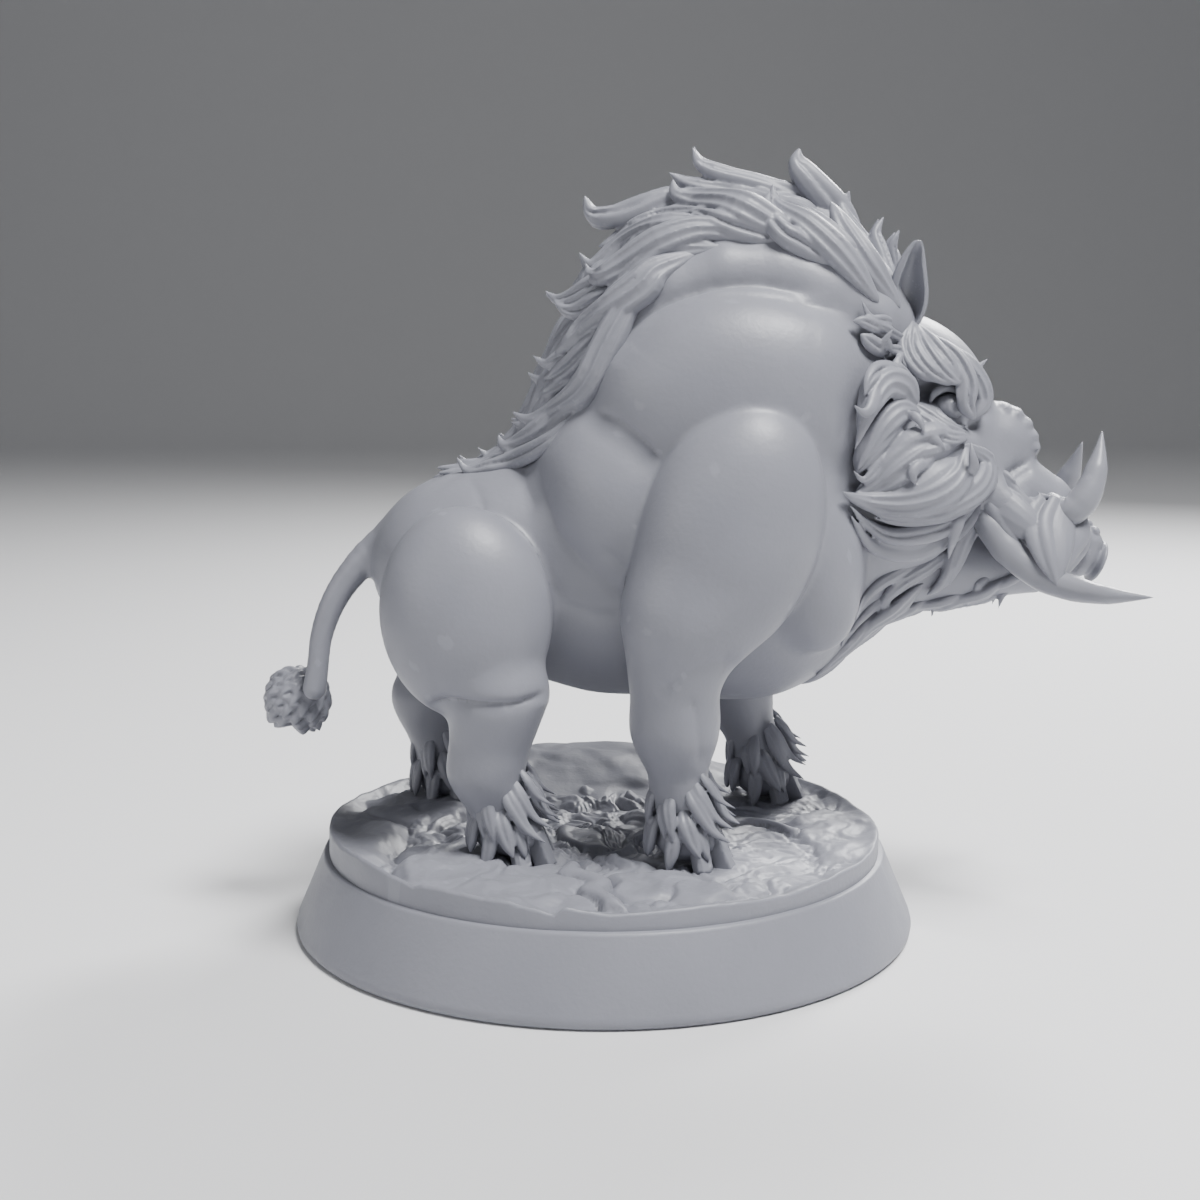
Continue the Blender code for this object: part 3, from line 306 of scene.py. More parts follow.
CHEEK = [
    # broad bands under the ruff's locks
    ([(22.9, 41.4), (21.4, 40.8), (20.1, 39.3), (19.2, 37.9), (18.8, 36.9)], 2.8, 1, 0.5, 0.3),
    ([(25.3, 39.3), (23.5, 38.5), (21.7, 37.3), (20.2, 36.2), (18.8, 35.6)], 3.3, 2, 0.6, 0.3),
    ([(27.3, 37.9), (25.5, 36.4), (23.6, 35.3), (21.3, 34.9), (19.2, 35.2)], 3.4, 1, 0.6, 0.2),
    ([(22.7, 42.9), (21.2, 43.8), (20.0, 43.2), (19.2, 41.5), (18.7, 40.0)], 2.5, 1, 0.5, 0.3),
    ([(27.4, 39.1), (25.1, 39.3), (22.8, 38.7), (20.9, 37.3), (19.6, 35.8)], 3.0, 1, 0.4, 0.3),
    # upper arch
    ([(22.7, 43.3), (21.7, 44.3), (20.3, 44.5), (19.4, 43.8), (19.0, 42.7)], 1.6, 1, 0.9, 0.3),
    ([(23.4, 42.1), (22.4, 43.3), (20.9, 43.5), (19.5, 41.7), (18.4, 38.8)], 2.4, 2, 1.1, 0.2),
    ([(21.1, 43.2), (20.1, 42.9), (19.5, 41.8), (18.8, 41.5), (18.0, 42.1)], 1.2, 0, 1.6, 0),
    # main band under the arch
    ([(23.5, 41.5), (22.1, 41.5), (20.8, 40.5), (19.6, 38.8), (18.7, 37.2)], 2.0, 2, 0.9, 0.2),
    ([(22.1, 38.7), (20.8, 38.0), (19.9, 36.9), (19.1, 36.5), (18.3, 37.3)], 1.0, 1, 1.2, 0),
    ([(23.3, 40.5), (24.0, 39.9), (24.7, 39.4), (25.4, 38.7)], 1.0, 0, 0.8, 0),
    ([(25.6, 39.3), (23.3, 38.7), (21.5, 37.5), (20.0, 36.2), (18.6, 35.5)], 1.9, 2, 0.9, 0),
    ([(24.3, 37.5), (23.4, 37.5), (22.8, 37.0), (23.0, 36.3)], 0.9, 0, 1.4, 1.8),
    # wide crescent with its tip at the rear
    (
        [(27.3, 38.5), (26.8, 36.7), (25.2, 35.4), (22.9, 34.7), (20.5, 34.7), (18.7, 35.1),
         (17.5, 35.7)],
        2.5, 2, 1.1, 0,
    ),
    # front bands
    (
        [(27.4, 38.8), (29.3, 37.6), (28.6, 35.9), (26.5, 34.7), (23.9, 34.0), (21.3, 33.8),
         (19.2, 34.4)],
        2.1, 2, 1.0, 0,
    ),
    (
        [(30.2, 37.3), (29.9, 36.3), (28.8, 35.3), (26.9, 34.2), (24.5, 33.4), (21.9, 33.2),
         (19.8, 33.7)],
        1.3, 0, 0.8, 0,
    ),
    # small locks under the eye
    ([(23.2, 42.1), (24.5, 41.1), (25.9, 40.2), (27.4, 39.9)], 1.0, 1, 0.3, 1.2),
    ([(23.2, 41.4), (24.5, 40.5), (25.9, 39.7), (27.4, 39.7)], 1.0, 1, 0.5, 1.2),
    ([(23.4, 40.8), (24.6, 39.9), (26.0, 39.3), (27.4, 39.4)], 1.0, 1, 0.5, 1.2),
    ([(22.5, 41.0), (22.9, 41.2), (23.4, 40.8), (23.7, 40.0)], 0.8, 0, 1.3, 0.8),
    ([(27.7, 36.6), (27.6, 37.4), (27.4, 38.2), (27.3, 39.2)], 0.9, 0, 1.8, 0),
]
JOWL = [
    ([(27.0, 33.8), (24.0, 32.1), (21.6, 31.9), (19.4, 33.0)], 3.3, 0, -0.1, 0.8),
    (
        [(27.9, 34.5), (26.4, 33.2), (24.2, 32.4), (21.6, 32.2), (19.6, 33.2), (18.1, 34.7)],
        1.7, 1, 0.9, 0,
    ),
    ([(27.0, 32.7), (25.0, 31.4), (22.5, 30.9), (20.0, 31.6), (18.1, 34.1)], 1.9, 0, 0.5, 0),
    ([(27.3, 34.2), (26.6, 32.9), (26.3, 31.3), (26.6, 29.9)], 0.9, 0, 1.6, 0),
]
NUBS = [
    # curls between the ear and the cheek
    ([(22.3, 48.0), (20.8, 48.2), (19.7, 48.4), (19.0, 49.7)], 0.9, 1, 0.5, 0),
    ([(21.1, 47.4), (20.0, 47.8), (19.1, 48.1), (18.4, 48.1)], 1.1, 1, 0.8, 0.9),
    ([(23.5, 46.5), (22.0, 47.1), (20.7, 47.7), (19.7, 48.1)], 0.8, 1, 0.4, 0.6),
    ([(20.9, 45.7), (20.8, 46.5), (21.4, 47.5)], 0.8, 1, 1.1, 0),
    ([(21.5, 45.8), (20.4, 46.2), (19.5, 46.7), (19.0, 47.1)], 1.4, 1, 0.7, 0.9),
    ([(23.0, 45.8), (22.1, 46.0), (21.4, 46.2), (21.3, 46.8)], 0.9, 1, 0.9, 0),
    ([(23.0, 42.9), (22.5, 44.0), (21.9, 45.0), (22.6, 45.9)], 1.2, 2, 0.8, 0),
    ([(24.0, 44.2), (23.1, 44.7), (22.6, 45.1), (22.5, 45.6)], 1.1, 1, 0.5, 0),
    ([(22.1, 44.4), (21.3, 44.8), (21.0, 45.4)], 0.8, 1, 0.2, 0),
]
BROW = [
    ([(23.3, 48.1), (22.7, 46.4), (23.2, 45.0), (24.3, 44.1), (25.6, 43.7)], 1.4, 1, 0.6, 0.6),
    ([(23.5, 48.1), (23.3, 46.3), (24.1, 44.8), (25.5, 43.8), (26.5, 43.5)], 1.4, 1, 0.8, 0.3),
    ([(23.7, 48.0), (24.1, 46.4), (25.1, 44.8), (26.2, 43.8), (26.9, 43.5)], 1.4, 1, 0.9, 0.3),
    ([(24.0, 47.9), (24.9, 46.5), (26.0, 45.1), (26.8, 43.8)], 1.3, 1, 1.0, 0.3),
    ([(25.2, 47.0), (26.6, 45.5), (27.5, 43.6), (27.4, 41.9), (28.1, 40.9)], 1.7, 1, 1.0, 2.6),
    ([(25.9, 46.5), (27.6, 45.0), (28.7, 43.5), (29.0, 42.1), (28.2, 40.9)], 1.8, 2, 0.6, 2.6),
    ([(27.1, 44.5), (26.9, 43.0), (27.2, 41.7), (27.9, 40.9)], 0.8, 0, 1.0, 1.6),
    ([(27.3, 43.0), (28.0, 43.9), (28.7, 44.7), (29.6, 45.4)], 0.8, 0, 0.7, 0),
]
LIDS = [
    ([(24.7, 42.0), (25.1, 42.8), (26.0, 43.2), (26.9, 42.9), (27.7, 42.0)], 0.7, 0, -0.2, 0.8),
    ([(24.7, 42.1), (25.2, 41.2), (25.9, 40.6), (26.7, 40.2), (27.6, 40.4)], 0.8, 0, -0.2, 0.8),
]
MUZZLE = [
    ([(35.9, 34.4), (35.0, 34.6), (34.2, 34.8), (33.5, 35.2)], 0.5, 0, 0.6, 0),
    ([(30.7, 36.8), (31.3, 36.4), (31.8, 35.9)], 0.6, 0, 0.3, 0.8),
]
THROAT = [
    ([(29.7, 32.5), (28.2, 30.9), (27.0, 29.4), (27.2, 27.8)], 1.1, 2, 0.5, 0),
    ([(28.2, 30.9), (25.4, 29.4), (23.0, 28.0), (21.9, 26.5), (22.3, 24.7)], 1.4, 2, 0.5, 0),
    ([(25.7, 30.2), (22.6, 28.9), (20.3, 27.5), (18.9, 25.6)], 1.2, 2, 0.3, 0),
    ([(23.7, 27.8), (21.4, 26.5), (19.9, 25.4), (19.0, 24.0)], 1.1, 2, 0.3, 0),
    ([(22.9, 25.1), (20.7, 24.2), (19.2, 23.4), (18.9, 22.0)], 0.9, 1, 0.4, 0),
    ([(29.1, 34.5), (28.1, 33.1), (26.7, 31.7), (25.4, 30.8)], 1.1, 2, 0.4, 0),
    ([(31.4, 28.0), (30.1, 28.1), (29.4, 27.5), (29.3, 26.1)], 0.8, 0, 0.1, 0),
    ([(33.4, 28.4), (32.2, 28.0), (31.1, 27.4)], 0.9, 0, 0.5, 1.6),
    ([(32.8, 27.2), (31.9, 26.7), (31.6, 25.7)], 0.7, 0, 0.3, 0),
    ([(27.2, 26.4), (26.4, 25.9), (26.2, 25.0)], 0.6, 0, 0.3, 0),
    ([(29.5, 27.2), (28.8, 26.7), (28.8, 25.8)], 0.5, 0, 0.3, 0),
    ([(19.3, 25.0), (18.6, 24.0), (18.5, 22.9)], 0.5, 0, 0.3, 0),
]

# ---------------------------------------------------------------- field of the flesh


def value(form, p):
    """About how far each point lies outside a form, mm."""
    if form[0] == "ball":
        _, centre, radii, tilt, yaw, _ = form
        q = p - np.array(centre, float)
        if yaw:
            c, s = math.cos(math.radians(yaw)), math.sin(math.radians(yaw))
            q = np.stack([q[:, 0] * c + q[:, 1] * s, q[:, 1] * c - q[:, 0] * s, q[:, 2]], 1)
        if tilt:
            c, s = math.cos(math.radians(tilt)), math.sin(math.radians(tilt))
            q = np.stack([q[:, 0] * c + q[:, 2] * s, q[:, 1], q[:, 2] * c - q[:, 0] * s], 1)
        q /= np.array(radii, float)
        k0 = np.sqrt((q * q).sum(1))
        q /= np.array(radii, float)
        k1 = np.sqrt((q * q).sum(1))
        return k0 * (k0 - 1) / np.maximum(k1, 1e-9)
    _, start, end, ra, rb, _ = form
    a, b = np.array(start, float), np.array(end, float)
    t = np.clip((p - a) @ (b - a) / ((b - a) @ (b - a)), 0, 1)
    q = p - a - t[:, None] * (b - a)
    return np.sqrt((q * q).sum(1)) - (ra + (rb - ra) * t)


def melt(a, b, k):
    """The nearer of two distances, blended over k where they are alike."""
    k = max(k, 1e-6)
    h = np.clip(0.5 + 0.5 * (a - b) / k, 0, 1)
    return a * (1 - h) + b * h - k * h * (1 - h)


def group(forms, p):
    """Forms melted into one another, each by its own blend."""
    total = value(forms[0], p)
    for form in forms[1:]:
        total = melt(total, value(form, p), form[-1])
    return total


def body_field(p):
    """Distance to the head and trunk, without limbs and tail."""
    return group(TRUNK + SKULL + MOUND, p)


def flesh_field(p):
    """Distance to all of the flesh."""
    total = body_field(p)
    for limb in LIMBS:
        total = melt(total, group(limb, p), LIMB_MELT)
    return melt(total, group(TAIL, p), TAIL_MELT)


DEPTHS = np.arange(0.0, 16.0, 0.05)


def side_depth(x, z):
    """How far the flesh reaches from the centre plane at a place in side view, or None."""
    p = np.stack([np.full_like(DEPTHS, x), -DEPTHS, np.full_like(DEPTHS, z)], 1)
    inside = np.nonzero(body_field(p) < 0)[0]
    return float(DEPTHS[inside[-1]]) if len(inside) else None


def slope(point):
    """The outward normal of the flesh near a point."""
    p = np.array([point] * 6, float)
    for axis in range(3):
        p[2 * axis, axis] += 0.05
        p[2 * axis + 1, axis] -= 0.05
    d = body_field(p)
    return Vector((d[0] - d[1], d[2] - d[3], d[4] - d[5])).normalized()


# ---------------------------------------------------------------- mesh helpers


def to_object(name, bm):
    mesh = bpy.data.meshes.new(name)
    bm.to_mesh(mesh)
    bm.free()
    obj = bpy.data.objects.new(name, mesh)
    bpy.context.scene.collection.objects.link(obj)
    return obj


def evaluated(obj):
    """The object's evaluated mesh becomes its own mesh."""
    graph = bpy.context.evaluated_depsgraph_get()
    mesh = bpy.data.meshes.new_from_object(obj.evaluated_get(graph))
    obj.modifiers.clear()
    obj.data = mesh
    return obj


def remesh(obj, voxel):
    modifier = obj.modifiers.new("remesh", "REMESH")
    modifier.mode = "VOXEL"
    modifier.voxel_size = voxel
    modifier.use_smooth_shade = True
    return evaluated(obj)


def thin(obj, triangles=MOST_TRIANGLES):
    obj.data.calc_loop_triangles()
    count = len(obj.data.loop_triangles)
    if count > triangles:
        modifier = obj.modifiers.new("thin", "DECIMATE")
        modifier.ratio = triangles / count
        evaluated(obj)
    return obj


def soften(obj, rounds):
    relax = obj.modifiers.new("relax", "SMOOTH")
    relax.factor = 0.5
    relax.iterations = rounds
    return evaluated(obj)


def tube(bm, loops, start=None, tip=None):
    """Faces from ring to ring, closed by a point at each end or, without them, by flat faces."""
    count = len(loops[0])
    for low, high in zip(loops, loops[1:]):
        for j in range(count):
            k = (j + 1) % count
            bm.faces.new((low[j], low[k], high[k], high[j]))
    if tip is None:
        bm.faces.new(loops[0])
        bm.faces.new(loops[-1])
        return
    last, first = bm.verts.new(tip), bm.verts.new(start)
    for j in range(count):
        k = (j + 1) % count
        bm.faces.new((loops[-1][j], loops[-1][k], last))
        bm.faces.new((loops[0][k], loops[0][j], first))


def coordinates(mesh):
    flat = np.empty(len(mesh.vertices) * 3, np.float32)
    mesh.vertices.foreach_get("co", flat)
    return flat.reshape(-1, 3).astype(float)


def set_coordinates(mesh, p):
    mesh.vertices.foreach_set("co", p.astype(np.float32).ravel())
    mesh.update()


def normals(mesh):
    flat = np.empty(len(mesh.vertices) * 3, np.float32)
    mesh.vertices.foreach_get("normal", flat)
    return flat.reshape(-1, 3).astype(float)


def settle(mesh, field):
    """Moves each point along the field's slope onto the field's surface."""
    p = coordinates(mesh)
    batch = 20000
    for low in range(0, len(p), batch):
        q = p[low : low + batch]
        for _ in range(3):
            d = field(q)
            rise = np.empty_like(q)
            for axis in range(3):
                shifted = q.copy()
                shifted[:, axis] += 0.02
                rise[:, axis] = (field(shifted) - d) / 0.02
            size = np.maximum((rise * rise).sum(1), 0.2)
            step = -(d / size)[:, None] * rise
            length = np.sqrt((step * step).sum(1))
            q = q + step * np.minimum(1, 0.8 / np.maximum(length, 1e-9))[:, None]
        p[low : low + batch] = q
    set_coordinates(mesh, p)


UNIT = bmesh.new()
bmesh.ops.create_icosphere(UNIT, subdivisions=4, radius=1.0)
UNIT_BALL = bpy.data.meshes.new("unit_ball")
UNIT.to_mesh(UNIT_BALL)
UNIT.free()


def add_ball(bm, centre, radii, turn=None):
    """A unit ball from the template, stretched, turned and placed."""
    known = len(bm.verts)
    bm.from_mesh(UNIT_BALL)
    bm.verts.ensure_lookup_table()
    place = Matrix.Translation(centre) @ (turn or Matrix()) @ Matrix.Diagonal((*radii, 1))
    bmesh.ops.transform(bm, matrix=place, verts=bm.verts[known:])


def rough_mass(forms):
    """The forms as overlapping balls, ready to be remeshed into one."""
    bm = bmesh.new()
    for form in forms:
        if form[0] == "ball":
            turn = Matrix.Rotation(math.radians(form[4]), 4, "Z")
            turn = turn @ Matrix.Rotation(-math.radians(form[3]), 4, "Y")
            add_ball(bm, form[1], form[2], turn)
            continue
        a, b = Vector(form[1]), Vector(form[2])
        count = max(2, int((b - a).length / (0.5 * min(form[3], form[4]))) + 1)
        for i in range(count):
            t = i / (count - 1)
            r = form[3] + (form[4] - form[3]) * t
            add_ball(bm, a.lerp(b, t), (r, r, r))
    return bm


def to_line(p, line):
    """Distance of points in side view to a broken line, their side of it, and how far they are
    from its nearer end, as a part of its length."""
    best = np.full(len(p), 1e9)
    side = np.ones(len(p))
    part = np.zeros(len(p))
    for i, ((x0, z0), (x1, z1)) in enumerate(zip(line, line[1:])):
        dx, dz = x1 - x0, z1 - z0
        t = np.clip(((p[:, 0] - x0) * dx + (p[:, 2] - z0) * dz) / (dx * dx + dz * dz), 0, 1)
        ex, ez = p[:, 0] - x0 - t * dx, p[:, 2] - z0 - t * dz
        d = np.sqrt(ex * ex + ez * ez)
        nearer = d < best
        best = np.where(nearer, d, best)
        side = np.where(nearer, np.sign(dx * ez - dz * ex), side)
        part = np.where(nearer, (i + t) / (len(line) - 1), part)
    return best, side, np.minimum(part, 1 - part)


def carve_skin(mesh):
    """Presses the creases and hollows into both sides of the skin, along its normals."""
    p, n = coordinates(mesh), normals(mesh)
    depth = np.zeros(len(p))
    on_trunk = np.clip(np.min([group(limb, p) for limb in LIMBS], 0) / 0.5, 0, 1)
    parts = {"trunk": on_trunk, "limb": np.clip(body_field(p) / 0.8, 0, 1)}
    for where, line, deep, above, below in CREASES:
        d, side, to_end = to_line(p, line)
        width = np.where(side > 0, above, below)
        fade = np.clip(to_end / 0.16, 0, 1)
        depth += deep * fade * np.exp(-np.abs(d / width) ** 1.2) * parts[where]
    for x, z, half_x, half_z, deep in HOLLOWS:
        reach = ((p[:, 0] - x) / half_x) ** 2 + ((p[:, 2] - z) / half_z) ** 2
        depth += deep * np.exp(-reach)
    facing = np.clip(np.abs(n[:, 1]) * 1.6, 0, 1) * np.clip((np.abs(p[:, 1]) - 1.5) / 1.5, 0, 1)
    set_coordinates(mesh, p - n * (depth * facing)[:, None])


# ---------------------------------------------------------------- skin


def build_skin():
    """One skin over trunk, head, legs and tail, creased after it is smoothed."""
    forms = TRUNK + SKULL + MOUND + TAIL + [form for limb in LIMBS for form in limb]
    skin = remesh(to_object("skin", rough_mass(forms)), SKIN_VOXEL)
    settle(skin.data, flesh_field)
    soften(skin, 4)
    carve_skin(skin.data)
    return thin(skin)


# ---------------------------------------------------------------- locks of hair


def curve_through(points, t):
    """A point of a smooth curve through three or more points."""
    n = len(points) - 1
    x = min(max(t, 0.0), 1.0) * n
    i = min(int(x), n - 1)
    f = x - i
    p1, p2 = points[i], points[i + 1]
    p0 = points[i - 1] if i else p1 * 2 - p2
    p3 = points[i + 2] if i + 2 <= n else p2 * 2 - p1
    return 0.5 * (
        2 * p1
        + (p2 - p0) * f
        + (2 * p0 - 5 * p1 + 4 * p2 - p3) * f * f
        + (3 * p1 - p0 - 3 * p2 + p3) * f * f * f
    )


def tail_forms():
    """Short rods along the tail's curve."""
    line = [Vector(place) for place in TAIL_LINE]
    steps = [tuple(curve_through(line, i / 20)) for i in range(21)]
    return [rod(a[:3], b[:3], a[3], b[3], 0.1) for a, b in zip(steps, steps[1:])]


TAIL = tail_forms()
WIDEST = 0.34  # part of its length at which a lock is widest
HEART_Z = 36  # height of the line round which the unwrap of the body runs


class Hair:
    """Collects locks and fuses them into one casting; each lock keeps a patch of the unwrap."""

    def __init__(self, name):
        self.name = name
        self.bm = bmesh.new()
        self.samples = []

    def lock(self, points, width, out, thick=0.62, grooves=2, blunt=0.0, root=0.3, carve=0.72):
        """A tapered lock along a curve, grooved along its outer face and drawn to a point.

        out gives the way its outer face looks at the root, the middle and the tip.
        """
        points = [Vector(p) for p in points]
        points[-1] += (points[-1] - points[-2]).normalized() * TIP_EXTRA
        out = [Vector(v) for v in out]
        reach = sum((b - a).length for a, b in zip(points, points[1:]))
        rings = max(9, min(22, int(reach / 0.33))) if FINE else 8
        sides = (14, 20, 28, 34, 40)[min(grooves, 4)] if FINE else 12
        bm, loops = self.bm, []
        for i in range(rings):
            t = (i / rings) ** 0.94
            here = curve_through(points, t)
            along = curve_through(points, t + 0.03) - curve_through(points, t - 0.03)
            along.normalize()
            look = curve_through(out, t)
            side = along.cross(look).normalized()
            lift = side.cross(along).normalized()
            full = root + (1 - root) * math.sin(min(1.0, t / WIDEST) * math.pi / 2)
            if t > WIDEST:
                full = 1.0 - ((t - WIDEST) / (1 - WIDEST)) ** (1.6 + blunt)
            half = width / 2 * max(full, 0.02)
            flat = thick + (0.95 - thick) * t * t
            depth = carve * min(1.0, 0.35 + t / 0.15) * min(1.0, (1 - t) / 0.3)
            ring = []
            for k in range(sides):
                a = 2 * math.pi * k / sides
                c, s = math.cos(a), math.sin(a)
                r = 1.0
                if s > 0 and grooves:
                    strand = abs(math.sin(math.pi * (c + 1) / 2 * (grooves + 1)))
                    r -= depth * (1 - strand) ** 1.6 * min(1.0, 2.2 * s)
                ring.append(bm.verts.new(here + side * (c * half) + lift * (s * half * flat * r)))
            loops.append(ring)
        start = points[0] - (curve_through(points, 0.06) - points[0]) * 0.6
        tube(bm, loops, start, curve_through(points, 1.0))
        self.sample(points, width, out, reach)

    def sample(self, points, width, out, reach):
        """Notes where the lock lies on the unwrap, by the place of its root on the body."""
        u = math.atan2(points[0].y, points[0].z - HEART_Z) / (2 * math.pi) + 0.5
        v = (points[0].x + 30) / 75
        for t in (0.0, 0.2, 0.4, 0.6, 0.8, 1.0):
            along = (curve_through(points, t + 0.05) - curve_through(points, t - 0.05)).normalized()
            side = along.cross(curve_through(out, t)).normalized()
            self.samples.append((curve_through(points, t), side / width, along / reach, (u, v, t)))

    def on_side(self, path, width, grooves, lift, blunt, side, thick=0.62, sway=0.0, rng=None):
        """A lock laid on one side of the skin along a path given in side view."""
        if rng:
            path = [(x + rng.uniform(-sway, sway), z + rng.uniform(-sway, sway)) for x, z in path]
        last, beyond, points, out = 1.2, 0.0, [], []
        for i, (x, z) in enumerate(path):
            depth = side_depth(x, z)
            if depth is None:  # past the outline it sweeps on and inwards
                beyond += math.dist(path[i], path[i - 1]) if i else 0.0
                y = last * (1.0 - min(0.75, 0.14 * beyond))
            else:
                last = y = max(depth + lift, 0.25)
            points.append((x, side * y, z))
            n = slope((x, -y, z))
            out.append((n.x * 0.7, -side * n.y + side * 0.55, n.z * 0.7))
        for i, sink in enumerate((1.0, 0.35)):
            x, y, z = points[i]
            points[i] = (x, y - side * ROOT_SINK * sink, z)
        self.lock(points, width, out, thick, grooves, blunt)

    def table(self, rows, side, thick=0.62, sway=0.0, seed=0):
        """A table's locks on one side; with sway, each point strays by up to that much."""
        rng = random.Random(seed) if sway else None
        for path, width, grooves, lift, blunt in rows:
            self.on_side(path, width, grooves, lift, blunt, side, thick, sway, rng)

    def finish(self, voxel=0.12, rounds=2):
        """Fuses the locks into one casting, softens the valleys between them and unwraps it."""
        bmesh.ops.recalc_face_normals(self.bm, faces=self.bm.faces)
        obj = remesh(to_object(self.name, self.bm), voxel if FINE else 2 * voxel)
        thin(soften(obj, rounds))
        self.unwrap(obj.data)
        return obj

    def unwrap(self, mesh):
        """Each face takes a place in the patch of the lock it lies on."""
        tree = kdtree.KDTree(len(self.samples))
        for i, sample in enumerate(self.samples):
            tree.insert(sample[0], i)
        tree.balance()
        p = coordinates(mesh)
        nearest = np.array([tree.find(place)[1] for place in p])
        corners = np.empty(len(mesh.loops), np.int32)
        mesh.loops.foreach_get("vertex_index", corners)
        starts = np.empty(len(mesh.polygons), np.int32)
        mesh.polygons.foreach_get("loop_start", starts)
        owner = np.repeat(nearest[corners[starts]], np.diff(np.append(starts, len(corners))))
        place, side, along, (u, v, t) = (
            np.array([s[i] for s in self.samples])[owner].T for i in range(4)
        )
        offset = p[corners].T - place
        across = np.clip(0.5 + (offset * side).sum(0), 0, 1)
        length = np.clip(t + (offset * along).sum(0), 0, 1)
        uv = np.stack([u + UV_PATCH * across, v + UV_PATCH * length], 1)
        layer = mesh.uv_layers.new(name="OFBake")
        layer.data.foreach_set("uv", uv.astype(np.float32).ravel())


def ridge_place(s):
    """Centre, way back and way out of the mane's mound at a part s of its length."""
    points = [Vector((x, 0, z)) for x, z, radius in MANE_RIDGE]
    here = curve_through(points, s)
    back = (curve_through(points, s + 0.02) - curve_through(points, s - 0.02)).normalized()
    return here, back, Vector((back.z, 0, -back.x)) * (1 if back.x < 0 else -1)


REACHES = np.arange(0.0, 9.0, 0.08)


def mane_surface(s, y):
    """Where the body's surface lies over the mane's ridge, y to its side, and its outward way."""
    here, back, up = ridge_place(min(s, 1.0))
    here = here + Vector((0, y, 0)) + back * max(0.0, s - 1.0) * 30
    p = np.array(here) + REACHES[:, None] * np.array(up)
    inside = np.nonzero(body_field(p) < 0)[0]
    place = here + up * (float(REACHES[inside[-1]]) if len(inside) else 0.0)
    return place, slope(place)


def fill_mane(hair, s_start, s_end, seed):
    """Rows of low locks along the ridge that close the mane between and under the larger ones."""
    rng = random.Random(seed)
    half_mane = 3.0
    for row, y in enumerate((0, half_mane / 2, -half_mane / 2, half_mane, -half_mane)):
        s = s_start + (0.04 if row % 2 else 0.0)
        while s < s_end:
            narrow = 1.0 - 0.5 * max(0.0, s - 0.7) / 0.3 - 0.35 * max(0.0, 0.12 - s) / 0.12
            outer = abs(y) / half_mane
            tip = rng.uniform(0.3, 0.8) - 0.3 * outer
            points, outs = [], []
            for k, rise in enumerate((-0.7, 0.0, 0.05, tip)):
                place, out = mane_surface(s + 0.055 * k, (y + rng.uniform(-0.25, 0.25)) * narrow)
                points.append(place + out * (rise - 0.6 * outer * outer))
                outs.append(out)
            width = rng.uniform(2.4, 3.0) * (0.45 + 0.55 * narrow)
            hair.lock(points, width, outs, 0.42, rng.choice((1, 2)))
            s += 0.08 * narrow


def mane_piece(name, rows, s_start, s_end, seed):
    """A third of the mane: its large locks on both sides, and the fill between them."""
    hair = Hair(name)
    hair.table(rows, RIGHT, 0.66)
    hair.table(rows, LEFT, 0.66, 0.2, seed)
    fill_mane(hair, s_start, s_end, seed)
    return hair.finish(0.12, 1)


def both_sides(name, *tables, thick=0.62):
    """The locks of some tables on the right side and mirrored on the left."""
    hair = Hair(name)
    for rows in tables:
        hair.table(rows, RIGHT, thick)
        hair.table(rows, LEFT, thick)
    return hair.finish(0.1, 1)


def build_lips():
    """Folds of the upper lip, and the ridged flap that hangs over the lower tusk."""
    hair = Hair("lip_locks")
    for side in (RIGHT, LEFT):
        hair.table(MUZZLE, side)
        for points, width, thick, grooves, blunt in LIP_FLAP + LIP_FOLDS:
            points = [(x, side * y, z) for x, y, z in points]
            look = (0.1, side, -0.1)
            hair.lock(points, width, [look, look, look], thick, grooves, blunt, 0.75)
    return hair.finish(0.1, 2)


def low_point(x, y):
    """The lowest height at which the head's flesh reaches a place in plan."""
    z = np.arange(20.0, 45.0, 0.05)
    p = np.stack([np.full_like(z, x), np.full_like(z, y), z], 1)
    inside = np.nonzero(group(SKULL + TRUNK, p) < 0)[0]
    return float(z[inside[0]]) if len(inside) else None


def build_beard():
    """Locks swept back under the jaw and throat."""
    rng = random.Random(11)
    hair = Hair("beard")
    for side in (RIGHT, LEFT):
        hair.table(THROAT, side)
    for y in (-3.4, -1.7, 0.0, 1.7, 3.4):
        x = 33.0 - abs(y) * 0.6 + rng.uniform(-0.6, 0.6)
        while x > 19.0:
            z = low_point(x, y)
            if z is not None and z < 32:
                second, third, last = (low_point(x - back, y) or z for back in (2.0, 4.0, 5.2))
                points = [
                    (x, y, z + 0.8),
                    (x - 2.0, y * 1.02, second + 0.1),
                    (x - 4.0, y * 1.03, third + 0.1),
                    (x - rng.uniform(5.2, 6.0), y * 1.05, last - rng.uniform(0.1, 0.6)),
                ]
                down = (-0.2, y * 0.12, -1)
                hair.lock(points, rng.uniform(2.0, 2.4), [down, down, down], 0.45, 2)
            x -= rng.uniform(2.6, 3.2)
    return hair.finish()


# ---------------------------------------------------------------- horn, ears, eyes, snout


